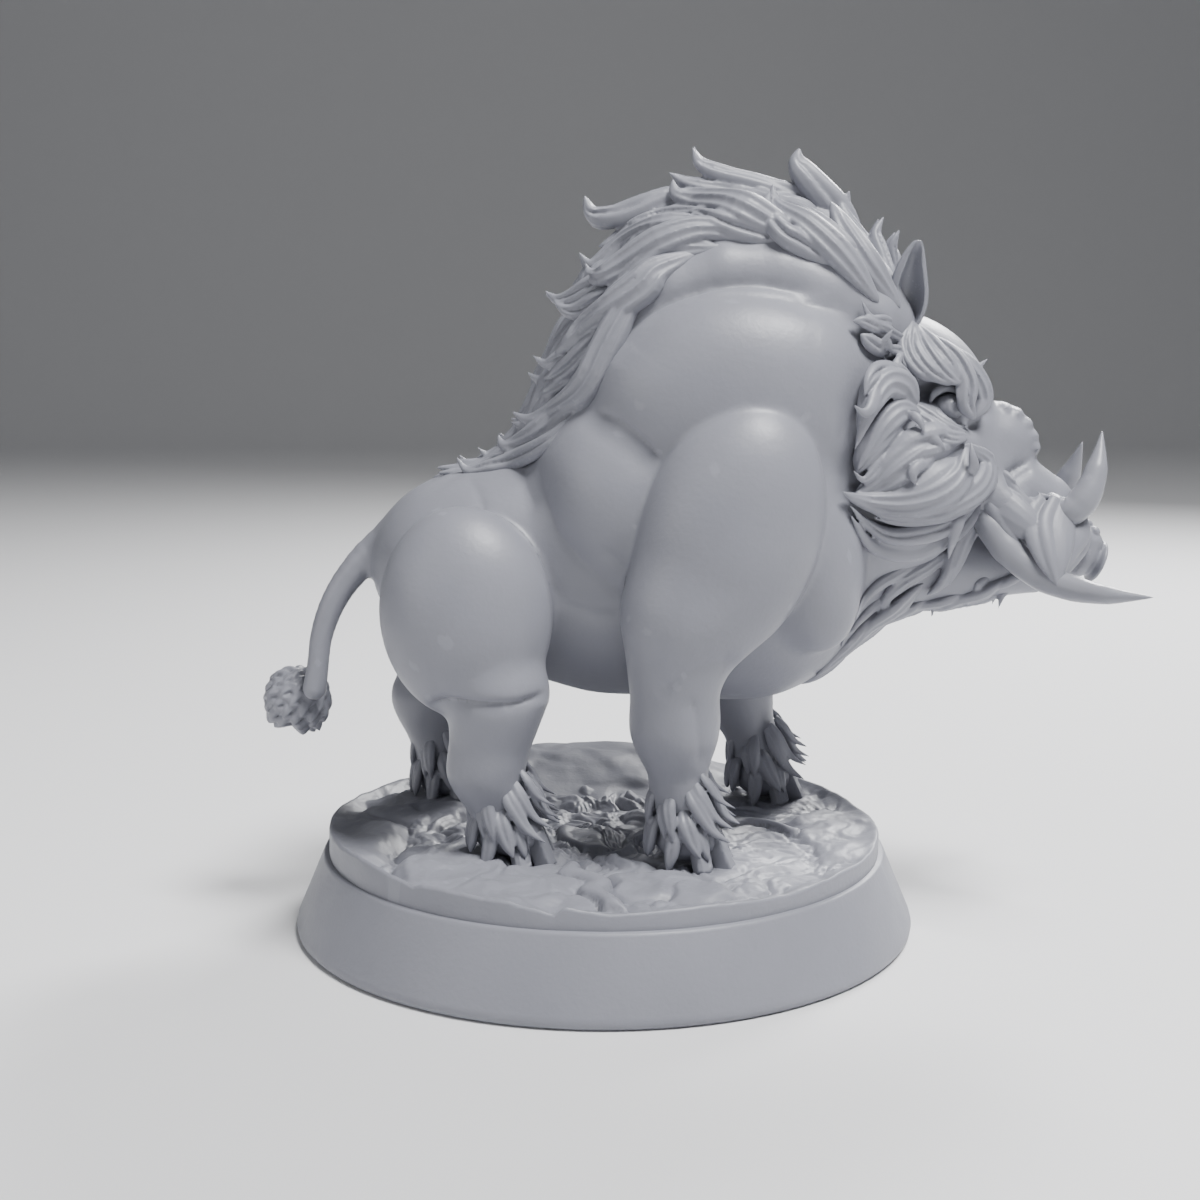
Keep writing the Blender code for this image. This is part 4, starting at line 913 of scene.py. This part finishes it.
def build_tusk(name, points, radii):
    """A round, tapered horn along a curve, its radii read along it, with faint growth rings."""
    points = [Vector(p) for p in points]
    bm, loops = bmesh.new(), []
    rings, sides = 48, 40
    for i in range(rings):
        t = i / rings
        x = t * (len(radii) - 1)
        k = min(int(x), len(radii) - 2)
        r = radii[k] + (radii[k + 1] - radii[k]) * (x - k)
        r *= 1 + 0.02 * math.sin(t * 46) * (1 - t)
        here = curve_through(points, t)
        along = (curve_through(points, t + 0.02) - curve_through(points, t - 0.02)).normalized()
        side = along.cross(Vector((0, 1, 0))).normalized()
        lift = side.cross(along)
        ring = []
        for j in range(sides):
            a = 2 * math.pi * j / sides
            ring.append(bm.verts.new(here + side * (r * math.cos(a)) + lift * (r * math.sin(a))))
        loops.append(ring)
    start = points[0] - (curve_through(points, 0.05) - points[0]) * 0.5
    tube(bm, loops, start, points[-1])
    bmesh.ops.recalc_face_normals(bm, faces=bm.faces)
    return to_object(name, bm)


def build_ear(name, side):
    """A cupped leaf, hollow to the outside, with a thick rounded rim and a rounded tip."""
    rings, arc = (60, 28) if FINE else (24, 14)
    turn = math.radians(-8)
    bm, loops = bmesh.new(), []
    for i in range(1, rings):
        t = i / rings
        w = 1.56 * math.sin(math.pi * t**0.78) ** (0.95 - 0.4 * t)
        back_rim, front_rim = 0.62 * min(1.0, w / 1.1), 0.4 * min(1.0, w / 1.1)
        inner = max(0.05, w - (back_rim + front_rim) / 2)
        shift = (back_rim - front_rim) / 2
        cx = 23.15 + 0.46 * max(0.0, (t - 0.55) / 0.45) ** 2
        cy = 3.7 + 1.5 * t
        ring = []
        for k in range(arc + 1):
            a = math.pi * k / arc
            ring.append((w * math.cos(a), -1.15 * w * math.sin(a)))
        for k in range(arc + 1):
            a = math.pi * (1 - k / arc)
            hollow = min(1.0, (t - 0.02) / 0.2, (0.99 - t) / 0.12)
            ring.append((shift + inner * math.cos(a), 0.12 - 0.98 * w * hollow * math.sin(a)))
        verts = []
        for a, b in ring:
            x = a * math.cos(turn) - b * math.sin(turn)
            y = a * math.sin(turn) + b * math.cos(turn)
            verts.append(bm.verts.new((cx + x, side * (cy + y), 47.0 + 7.3 * t)))
        loops.append(verts)
    tube(bm, loops)
    bmesh.ops.recalc_face_normals(bm, faces=bm.faces)
    return soften(remesh(to_object(name, bm), 0.08 if FINE else 0.16), 5)


def build_eye(name, side):
    """An eyeball with a raised iris ring and a pupil set in."""
    bm = bmesh.new()
    rings, sides = 28, 40
    loops = []
    axis = Vector((0.28, side, 0.06)).normalized()
    across = axis.cross(Vector((0, 0, 1))).normalized()
    up = across.cross(axis)
    centre = Vector((EYE_X, side * (side_depth(EYE_X, EYE_Z) - 0.85), EYE_Z))
    for i in range(1, rings):
        a = math.pi * i / rings
        r = 1.0
        if a < 0.5:
            r += 0.045 * math.exp(-(((a - 0.42) / 0.07) ** 2)) - 0.10 * math.exp(-((a / 0.2) ** 2))
        ring = []
        for j in range(sides):
            b = 2 * math.pi * j / sides
            ring.append(
                bm.verts.new(
                    centre
                    + axis * (r * math.cos(a))
                    + across * (1.15 * r * math.sin(a) * math.cos(b))
                    + up * (r * math.sin(a) * math.sin(b))
                )
            )
        loops.append(ring)
    tube(bm, loops)
    bmesh.ops.recalc_face_normals(bm, faces=bm.faces)
    return to_object(name, bm)


SNOUT = [
    ball((38.0, 0, 31.0), (1.35, 1.9, 1.5), -25, 0),  # end of the upper lip
    ball((38.4, 0, 29.75), (1.1, 1.85, 1.85), -24, 0.6),  # root of the disc
    ball((39.5, 0, 29.25), (0.42, 2.05, 1.75), -21, 0.5),  # disc
    ball((38.95, 0, 31.0), (0.8, 1.6, 0.8), -45, 0.4),
    *both(ball((38.45, -0.75, 32.4), (0.48, 0.36, 0.32), -20, 0.12)),  # knobs over the disc
    *both(ball((39.0, -1.0, 31.8), (0.46, 0.5, 0.36), -35, 0.15)),
]
NOSTRILS = [
    *both(ball((39.7, -0.8, 29.1), (0.9, 0.4, 0.58), -21, 0)),
    ball((40.2, 0, 28.95), (0.55, 1.55, 1.25), -21, 0),  # shallow dish inside the disc's rim
]


def snout_field(p):
    """Distance to the snout with the nostrils and the dish taken out."""
    total = group(SNOUT, p)
    for form in NOSTRILS:
        total = -melt(-total, value(form, p), 0.15)
    return total


def build_snout():
    """The end of the upper lip and the disc with its nostrils."""
    snout = remesh(to_object("snout", rough_mass(SNOUT)), 0.13 if FINE else 0.208)
    settle(snout.data, snout_field)
    return thin(snout, 30000)


# Points x, y, z along a tusk from its socket to its tip, and the radii along it.
LOWER_TUSK = [
    (28.8, 2.9, 34.4), (29.9, 3.9, 32.6), (31.0, 4.5, 31.0), (32.4, 5.0, 29.7),
    (34.0, 5.7, 28.6), (35.9, 7.2, 28.0), (37.9, 9.2, 27.8), (40.6, 11.0, 27.9),
]
LOWER_RADII = (0.8, 1.1, 1.18, 1.15, 1.1, 0.98, 0.68, 0.04)
UPPER_TUSK = [(34.7, 2.6, 34.4), (36.0, 3.9, 33.6), (37.3, 4.0, 34.8), (38.2, 3.5, 37.0), (38.8, 2.6, 39.8)]
UPPER_RADII = (0.7, 1.15, 1.16, 0.85, 0.04)
LEFT_DROP = 0.27  # how much less the left upper tusk rises from point to point


# ---------------------------------------------------------------- feet and tail tuft

# Each foot: middle of the ankle x y, the way the toes point in degrees.
FEET = {
    "fore_right": (6.0, -9.7, 0.0),
    "fore_left": (13.6, 9.5, 6.0),
    "hind_right": (-7.6, -9.0, 0.0),
    "hind_left": (-13.9, 8.8, 4.0),
}


def foot_place(name):
    """Where a foot stands and how it is turned."""
    x, y, turn = FEET[name]
    return Matrix.Translation((x, y, 0)) @ Matrix.Rotation(math.radians(turn), 4, "Z")


def build_hoof(name):
    """Four flat toes side by side under the pad of the foot, pointing forward and down."""
    place = foot_place(name)
    bm = bmesh.new()
    for angle, reach, wide in ((-60, 2.4, 1.3), (-20, 2.9, 1.4), (20, 2.9, 1.4), (60, 2.4, 1.3)):
        toe = place @ Matrix.Rotation(math.radians(angle), 4, "Z")
        toe = toe @ Matrix.Translation((reach, 0, GROUND_LEVEL + 1.0))
        toe = toe @ Matrix.Rotation(math.radians(-24), 4, "Y") @ Matrix.Diagonal((1.3, wide, 2.8, 1))
        known = len(bm.verts)
        bmesh.ops.create_cube(bm, size=1.0, matrix=toe)
        bm.verts.ensure_lookup_table()
        edges = {edge for vert in bm.verts[known:] for edge in vert.link_edges}
        bmesh.ops.bevel(bm, geom=list(edges), offset=0.22, segments=3, affect="EDGES")
    bmesh.ops.recalc_face_normals(bm, faces=bm.faces)
    return soften(remesh(to_object("hoof_" + name, bm), 0.12 if FINE else 0.2), 2)


# Leaves of hair round an ankle, on each side: angle from the front at root and tip, height
# above the ground at root and tip, how far the tip stands off the leg, width, bluntness.
LEAVES = [
    (120, 108, 5.9, 2.4, 0.45, 1.15, 0.5),
    (137, 124, 5.3, 2.4, 0.35, 0.80, 0.3),
    (150, 153, 4.1, 0.8, 0.40, 1.10, 1.6),
    (111, 116, 3.5, -0.1, 0.60, 1.30, 0.8),
    (100, 74, 4.6, 0.9, 0.75, 1.45, 0.4),
    (88, 40, 6.4, 1.9, 1.60, 1.25, 0.0),
    (70, 30, 6.9, 2.7, 1.70, 0.90, 0.0),
    (58, 22, 7.5, 4.4, 1.60, 0.75, 0.0),
    (42, 12, 6.5, 3.1, 1.70, 0.85, 0.0),
    (18, 4, 6.2, 2.6, 1.60, 1.00, 0.0),
    (70, 56, 3.7, 1.0, 0.60, 1.15, 0.6),
    (166, 170, 6.3, 3.0, 0.30, 1.00, 0.4),
    (176, 178, 4.2, 0.8, 0.35, 1.15, 1.0),
]


def build_feather(name, seed):
    """Leaf-shaped locks that hang round the ankle and hook forward over the hoof."""
    rng = random.Random(seed)
    place = foot_place(name)
    turned = place.to_3x3()
    hair = Hair("feather_" + name)
    for side in (RIGHT, LEFT):
        for a0, a1, z0, z1, reach, width, blunt in LEAVES:
            a0, a1 = a0 + rng.uniform(-5, 5), a1 + rng.uniform(-5, 5)
            z1 += rng.uniform(-0.2, 0.25)
            points, outs = [], []
            for t, r in ((0, 1.95), (0.3, 2.6), (0.7, 2.75 + reach * 0.25), (1, 2.6 + reach)):
                a = math.radians((a0 + (a1 - a0) * t) * side)
                way = Vector((math.cos(a), math.sin(a), 0))
                fall = t if t < 1 else 1 - 0.05 * reach
                height = GROUND_LEVEL + z0 + (z1 - z0) * fall
                points.append(place @ (way * r + Vector((0.1, 0, height))))
                outs.append(turned @ (way + Vector((0, 0, 0.25))))
            hair.lock(points, width, outs, 0.62, 1, blunt, 0.5, 0.3)
    return hair.finish(0.1, 1)


GOLDEN_ANGLE = 2.39996  # radians from one curl's root to the next


def build_tail_tuft():
    """A ball of curls at the end of the tail."""
    rng = random.Random(4)
    hair = Hair("tail_tuft")
    centre = Vector(TAIL_TUFT)
    count = 64
    for i in range(count):
        h = 1 - 2 * (i + 0.5) / count
        a = i * GOLDEN_ANGLE
        r = math.sqrt(1 - h * h)
        way = Vector((math.cos(a) * r, math.sin(a) * r, h))
        turn = way.cross(Vector((0.2, 0, 1)))
        turn = turn.normalized() if turn.length > 0.1 else Vector((0, 1, 0))
        fall = Vector((0, 0, -1))
        points = [
            centre + way * 1.0,
            centre + way * 1.8 + turn * 0.4,
            centre + way * 2.05 + turn * 1.0 + fall * 0.2,
            centre + way * rng.uniform(2.0, 2.25) + turn * 1.5 + fall * rng.uniform(0.4, 0.8),
        ]
        hair.lock(points, rng.uniform(1.7, 2.1), [way, way, way], 0.6, 1, 1.0)
    return hair.finish(0.1, 4)


# ---------------------------------------------------------------- ground and rim


# Height of the ground's broken edge, by the angle round the base in degrees.
EDGE = [
    (-180, 8.40), (-160, 8.60), (-146, 8.80), (-138, 8.60), (-131, 8.25), (-128, 8.00), (-126, 8.35),
    (-117, 8.40), (-107, 8.10), (-101, 7.60), (-99, 7.40), (-97, 8.00), (-93, 7.70), (-90, 7.50),
    (-82, 7.60), (-72, 7.80), (-63, 7.65), (-54, 7.45), (-47, 7.70), (-38, 7.80), (-20, 7.70),
    (-8, 7.90), (10, 7.60), (34, 8.00), (55, 7.70), (74, 8.60), (88, 9.00), (104, 9.20), (120, 8.70),
    (138, 8.00), (158, 8.10), (180, 8.40),
]
# Smooth plates in the mud: x, y, half sizes, height of the top, and slope along x.
PLATES = [
    (-19.6, -4.0, 3.8, 7.0, 8.1, 0.0),
    (-11.2, -11.6, 3.9, 6.6, 8.15, -0.02),
    (-5.8, -16.8, 5.0, 4.9, 7.9, -0.03),
    (-15.5, 5.5, 4.8, 5.0, 8.0, -0.03),
    (3.4, -15.9, 3.2, 2.7, 7.8, 0.06),
    (6.8, -18.4, 2.3, 2.1, 8.05, 0.0),
    (-2.2, -20.4, 2.6, 1.6, 7.45, 0.02),
    (19.0, -2.0, 3.4, 8.0, 7.55, 0.0),
]
# Sticks pressed into the mud: both ends x y, radius and how high the top stands.
STICKS = [
    (-2.4, -12.5, 1.2, -21.6, 0.95, 8.2),
    (-2.8, -0.4, -0.4, -6.6, 0.6, 7.75),
    (9.0, 2.0, 16.0, -1.0, 0.6, 7.7),
]


def lumps(x, y):
    """Rounded lumps of trodden mud with valleys between them, in streaks on the far right."""
    streak = min(1.0, max(0.0, (x - 7.0) / 8.0))
    total = 0.0
    for scale, height in ((0.30, 0.6), (0.68, 0.3), (1.5, 0.15)):
        along, across = scale * (1 - 0.3 * streak), scale * (0.62 + 0.55 * streak)
        wave = noise.noise(Vector((x * along, y * across, 7.0 * scale)))
        total += height * (1 - 0.35 * streak) * min(1.0, abs(wave) * 2.0) ** 0.9
    return total


def ground_height(x, y):
    """Trodden mud between smooth plates, a bank behind, and sticks pressed into it."""
    px = x + 1.7 * noise.noise(Vector((x, y, 1.0)) * 0.33)
    py = y + 1.7 * noise.noise(Vector((x, y, 8.0)) * 0.33)
    grain = 0.07 * noise.noise(Vector((px, py, 4.0)) * 2.3)
    z = 6.85 + lumps(px, py) + grain
    z -= 0.5 * math.exp(-(((px + 0.3) / 4.5) ** 2) - ((py - 5.6) / 1.3) ** 2)
    rise = min(1.0, max(0.0, (py - 6.5) / 13.0))
    bank = 6.9 + 2.6 * rise * rise * (3 - 2 * rise) * math.exp(-(((x + 2.0) / 13.0) ** 4))
    bank += 0.22 * noise.noise(Vector((px * 0.35, py * 0.5, 3.0)))
    z = max(z, bank) if py > 6.5 else z
    for cx, cy, rx, ry, top, tip in PLATES:
        reach = ((px - cx) / rx) ** 2 + ((py - cy) / ry) ** 2
        if reach < 1.7:
            rock = top + tip * (x - cx) + 0.34 * noise.noise(Vector((px * 0.42, py * 0.34, cx)))
            rock += 0.13 * noise.noise(Vector((px, py * 0.7, cx)) * 1.1)
            rock += 0.04 * noise.noise(Vector((px, py, cx)) * 2.8)
            rock -= 1.3 * max(0.0, reach - 0.5) ** 1.5
            z = max(z - 0.08, rock)
    for x0, y0, x1, y1, radius, top in STICKS:
        length = math.hypot(x1 - x0, y1 - y0)
        along = ((px - x0) * (x1 - x0) + (py - y0) * (y1 - y0)) / length
        across = abs((px - x0) * (y1 - y0) - (py - y0) * (x1 - x0)) / length
        if across < radius * 1.3 and -0.4 < along < length + 0.4:
            end = max(0.0, -along, along - length)
            rest = max(0.0, 1 - (across / radius) ** 2 - (end / 0.4) ** 2)
            z = max(z - 0.2, top - 0.75 + 0.75 * math.sqrt(rest)) if rest > 0 else z - 0.08
    return z


def edge_height(angle):
    """The wall's top at an angle, from the table, with chips broken out of it."""
    for (a0, z0), (a1, z1) in zip(EDGE, EDGE[1:]):
        if a0 <= angle <= a1:
            z = z0 + (z1 - z0) * (angle - a0) / (a1 - a0)
            break
    chip = noise.noise(Vector((math.cos(math.radians(angle)), math.sin(math.radians(angle)), 2)) * 14)
    return z + 0.12 * chip


def build_ground():
    """The ground as a disc of rings, its rim drawn to the broken edge and down behind the rim."""
    rings, spokes = (170, 640) if FINE else (50, 200)
    wall = 6  # rings down the outside
    bm = bmesh.new()
    middle = bm.verts.new((0, 0, ground_height(0, 0)))
    loops = []
    edges = [edge_height(-180 + 360 * j / spokes) for j in range(spokes)]
    for i in range(1, rings + wall + 1):
        ring = []
        for j in range(spokes):
            a = -math.pi + 2 * math.pi * j / spokes
            way = Vector((math.cos(a), math.sin(a), 0))
            out = min(i / rings, 1.0)
            r = (GROUND_RADIUS - 0.12 + 0.05 * noise.noise(way * 7)) * out
            x, y = r * way.x, r * way.y
            near = max(0.0, (out - 0.92) / 0.08) ** 1.5
            z = ground_height(x, y)
            z = z * (1 - near) + (edges[j] + 0.35 * (z - edges[j]) * (1 - near)) * near
            if out > 0.985:
                z -= 0.10 * ((out - 0.985) / 0.015) ** 2
            if i > rings:
                z = z + (RIM_HEIGHT - 0.05 - z) * (i - rings) / wall
                r += 0.06
                x, y = r * way.x, r * way.y
            ring.append(bm.verts.new((x, y, z)))
        loops.append(ring)
    for j in range(spokes):
        k = (j + 1) % spokes
        bm.faces.new((middle, loops[0][j], loops[0][k]))
        for low, high in zip(loops, loops[1:]):
            bm.faces.new((low[j], high[j], high[k], low[k]))
    bmesh.ops.recalc_face_normals(bm, faces=bm.faces)
    return thin(to_object("ground", bm))


def build_rim():
    """The bevelled base, turned from its profile, with a small round at foot and shoulder."""
    foot, shoulder, top = BASE_RADIUS, RIM_TOP_RADIUS, RIM_HEIGHT
    profile = [
        (0, 0), (foot - 0.7, 0), (foot - 0.25, 0.08), (foot - 0.05, 0.3), (foot, 0.6), (foot - 0.1, 1.0),
        (shoulder + 0.1, top - 0.25), (shoulder + 0.02, top - 0.08), (shoulder - 0.1, top),
        (shoulder - 0.7, top + 0.02), (0, top + 0.02),
    ]
    bm = bmesh.new()
    verts = [bm.verts.new((r, 0, z)) for r, z in profile]
    edges = [bm.edges.new(pair) for pair in zip(verts, verts[1:])]
    bmesh.ops.spin(
        bm, geom=verts + edges, cent=(0, 0, 0), axis=(0, 0, 1), angle=2 * math.pi,
        steps=256 if FINE else 96, use_merge=True, use_duplicate=False,
    )
    bmesh.ops.remove_doubles(bm, verts=bm.verts, dist=0.001)
    bmesh.ops.recalc_face_normals(bm, faces=bm.faces)
    return to_object("rim", bm)


# ---------------------------------------------------------------- materials


def make_resin_group():
    """Cast resin: mottled tone, a painted highlight on edges and painted shade in hollows, with a fine
    grain.
    """
    tree = bpy.data.node_groups.new("cast_resin", "ShaderNodeTree")
    face = tree.interface
    face.new_socket("Tone", in_out="INPUT", socket_type="NodeSocketColor")
    face.new_socket("Gloss", in_out="INPUT", socket_type="NodeSocketFloat")
    face.new_socket("Grain", in_out="INPUT", socket_type="NodeSocketFloat")
    face.new_socket("Color", in_out="OUTPUT", socket_type="NodeSocketColor")
    face.new_socket("Roughness", in_out="OUTPUT", socket_type="NodeSocketFloat")
    face.new_socket("Normal", in_out="OUTPUT", socket_type="NodeSocketVector")
    nodes, links = tree.nodes, tree.links
    given = nodes.new("NodeGroupInput")
    result = nodes.new("NodeGroupOutput")
    coords = nodes.new("ShaderNodeTexCoord")
    geometry = nodes.new("ShaderNodeNewGeometry")

    def noise_node(scale, detail):
        node = nodes.new("ShaderNodeTexNoise")
        node.inputs["Scale"].default_value = scale
        node.inputs["Detail"].default_value = detail
        links.new(coords.outputs["Object"], node.inputs["Vector"])
        return node

    def spread(source, low, high, out_low, out_high):
        node = nodes.new("ShaderNodeMapRange")
        sockets = ("From Min", "From Max", "To Min", "To Max")
        for name, number in zip(sockets, (low, high, out_low, out_high)):
            node.inputs[name].default_value = number
        links.new(source, node.inputs["Value"])
        return node.outputs["Result"]

    mottle = spread(noise_node(130.0, 4.0).outputs["Fac"], 0.3, 0.7, 0.965, 1.035)
    # Painted shade: the tone darkens in hollows and creases, by the mesh's pointiness.
    hollows = spread(geometry.outputs["Pointiness"], 0.42, 0.485, 0.66, 1.0)
    # Painted highlight: the tone lightens on sharp edges, by the mesh's pointiness.
    edges = spread(geometry.outputs["Pointiness"], 0.55, 0.62, 1.0, 1.14)

    def times(a, b):
        node = nodes.new("ShaderNodeMath")
        node.operation = "MULTIPLY"
        links.new(a, node.inputs[0])
        links.new(b, node.inputs[1])
        return node.outputs[0]

    # The mottled tone times the painted shade and the painted highlight.
    effect = times(mottle, times(hollows, edges))
    shade = nodes.new("ShaderNodeVectorMath")
    shade.operation = "SCALE"
    links.new(given.outputs["Tone"], shade.inputs[0])
    links.new(effect, shade.inputs["Scale"])
    links.new(shade.outputs[0], result.inputs["Color"])
    wear = spread(noise_node(420.0, 3.0).outputs["Fac"], 0.25, 0.75, -0.05, 0.05)
    rough = nodes.new("ShaderNodeMath")
    links.new(given.outputs["Gloss"], rough.inputs[0])
    links.new(wear, rough.inputs[1])
    links.new(rough.outputs[0], result.inputs["Roughness"])
    bump = nodes.new("ShaderNodeBump")
    bump.inputs["Distance"].default_value = 0.00004
    links.new(given.outputs["Grain"], bump.inputs["Strength"])
    links.new(noise_node(2400.0, 3.0).outputs["Fac"], bump.inputs["Height"])
    links.new(bump.outputs["Normal"], result.inputs["Normal"])
    return tree


RESIN = make_resin_group()


def resin_material(name, tone, gloss, grain):
    """The resin with a piece's own tone, roughness and grain."""
    material = bpy.data.materials.new(name)
    material.use_nodes = True
    nodes, links = material.node_tree.nodes, material.node_tree.links
    shader = nodes["Principled BSDF"]
    shader.inputs["IOR"].default_value = 1.5
    effect = nodes.new("ShaderNodeGroup")
    effect.node_tree = RESIN
    effect.inputs["Tone"].default_value = (*tone, 1)
    effect.inputs["Gloss"].default_value = gloss
    effect.inputs["Grain"].default_value = grain
    links.new(effect.outputs["Color"], shader.inputs["Base Color"])
    links.new(effect.outputs["Roughness"], shader.inputs["Roughness"])
    links.new(effect.outputs["Normal"], shader.inputs["Normal"])
    return material


MATERIALS = {
    "resin_skin": resin_material("resin_skin", (0.225, 0.229, 0.262), 0.44, 0.5),
    "resin_hair": resin_material("resin_hair", (0.225, 0.229, 0.262), 0.46, 0.4),
    # The tusks take a lighter copy of the same resin's tone: painted light.
    "resin_ivory": resin_material("resin_ivory", (0.236, 0.24, 0.27), 0.38, 0.25),
    # The eyes take a darker copy of the same resin's tone: painted shade.
    "resin_eye": resin_material("resin_eye", (0.215, 0.219, 0.25), 0.34, 0.15),
    "resin_base": resin_material("resin_base", (0.225, 0.229, 0.262), 0.48, 0.7),
}


def place_piece(obj, slot, *nodes):
    """Brings the piece to metres, gives it its finish, hangs it on the root and hides the parts of the
    model that it stands for.
    """
    obj.data.transform(Matrix.Scale(0.001, 4))
    obj.data.shade_smooth()
    obj.data.materials.clear()
    obj.data.materials.append(MATERIALS[slot])
    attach(obj, "root")
    if nodes:
        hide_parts(*nodes)


place_piece(
    build_skin(), "resin_skin", "trunk", "neck", "head", "jaw", "tail",
    "foreleg_right", "foreleg_left", "hindleg_right", "hindleg_left",
)
place_piece(mane_piece("nape_locks", MANE_NAPE, 0.0, 0.24, 1), "resin_hair", "mane_nape")
place_piece(mane_piece("hump_locks", MANE_HUMP, 0.22, 0.58, 2), "resin_hair", "mane_hump")
place_piece(mane_piece("back_locks", MANE_BACK, 0.54, 0.985, 3), "resin_hair", "mane_back")
cheeks = both_sides("cheek_locks", CHEEK, NUBS, thick=0.46)
place_piece(cheeks, "resin_hair", "cheek_right", "cheek_left")
place_piece(both_sides("jowl_locks", JOWL, thick=0.5), "resin_hair", "jowl_right", "jowl_left")
place_piece(both_sides("brow_locks", BROW, LIDS), "resin_hair", "brow_right", "brow_left")
place_piece(build_lips(), "resin_hair", "lip_right", "lip_left")
place_piece(build_beard(), "resin_hair", "beard")
for side, word in ((RIGHT, "right"), (LEFT, "left")):
    place_piece(build_ear("ear_shell_" + word, side), "resin_skin", "ear_" + word)
    place_piece(build_eye("eyeball_" + word, side), "resin_eye", "eye_" + word)
    lower = [(x, side * y, z) for x, y, z in LOWER_TUSK]
    tusk = build_tusk("lower_tusk_" + word, lower, LOWER_RADII)
    place_piece(tusk, "resin_ivory", "tusk_lower_" + word)
    drop = 0.0 if side == RIGHT else LEFT_DROP
    upper = [(x, side * y, z - drop * i) for i, (x, y, z) in enumerate(UPPER_TUSK)]
    tusk = build_tusk("upper_tusk_" + word, upper, UPPER_RADII)
    place_piece(tusk, "resin_ivory", "tusk_upper_" + word)
place_piece(build_snout(), "resin_skin", "snout_disc")
for seed, name in enumerate(FEET):
    place_piece(build_hoof(name), "resin_hair", "hoof_" + name)
    place_piece(build_feather(name, seed + 20), "resin_hair", "feather_" + name)
place_piece(build_tail_tuft(), "resin_hair", "tail_tuft")
place_piece(build_ground(), "resin_base", "base_ground")
place_piece(build_rim(), "resin_base", "base_rim")

# ---------------------------------------------------------------- stage, light and camera


def build_stage():
    """A pale paper sweep: flat under the figurine and curving up far behind it."""
    profile = [(-1.0, 0.0), (0.7, 0.0)]
    for a in np.linspace(0.05, 1.52, 24):
        profile.append((0.7 + 0.4 * math.sin(a), 0.4 - 0.4 * math.cos(a)))
    profile.append((1.1, 1.6))
    bm = bmesh.new()
    near = [bm.verts.new((-1.6, y, z)) for y, z in profile]
    far = [bm.verts.new((1.6, y, z)) for y, z in profile]
    for i in range(len(profile) - 1):
        bm.faces.new((near[i], far[i], far[i + 1], near[i + 1]))
    floor = to_object("floor", bm)
    floor.data.shade_smooth()
    material = bpy.data.materials.new("floor_paper")
    material.use_nodes = True
    shader = material.node_tree.nodes["Principled BSDF"]
    shader.inputs["Base Color"].default_value = (0.72, 0.72, 0.73, 1)
    shader.inputs["Roughness"].default_value = 0.9
    floor.data.materials.append(material)


def add_light(name, place, target, size, power):
    """A square soft lamp that looks at a place."""
    data = bpy.data.lights.new(name, "AREA")
    data.size = size
    data.energy = power
    lamp = bpy.data.objects.new(name, data)
    lamp.location = place
    lamp.rotation_mode = "QUATERNION"
    lamp.rotation_quaternion = (Vector(target) - Vector(place)).to_track_quat("-Z", "Y")
    bpy.context.scene.collection.objects.link(lamp)


build_stage()
MIDDLE = (0.005, 0.0, 0.035)
add_light("key", (0.12, -0.10, 0.34), MIDDLE, 0.12, 2.5)
add_light("back", (0.14, 0.24, 0.22), MIDDLE, 0.10, 1.6)
add_light("fill", (-0.26, -0.20, 0.14), MIDDLE, 0.20, 0.28)
world = bpy.data.worlds.new("studio")
world.use_nodes = True
world.node_tree.nodes["Background"].inputs["Color"].default_value = (0.8, 0.82, 0.86, 1)
world.node_tree.nodes["Background"].inputs["Strength"].default_value = 0.17
bpy.context.scene.world = world

camera_data = bpy.data.cameras.new("camera")
camera_data.lens = 50
camera_data.sensor_width = 36
camera_data.clip_start = 0.01
camera = bpy.data.objects.new("camera", camera_data)
camera.location = (-0.00032, -0.1329, 0.04563)
camera.rotation_euler = (math.radians(90 - 8.357), 0, 0)
bpy.context.scene.collection.objects.link(camera)
bpy.context.scene.camera = camera
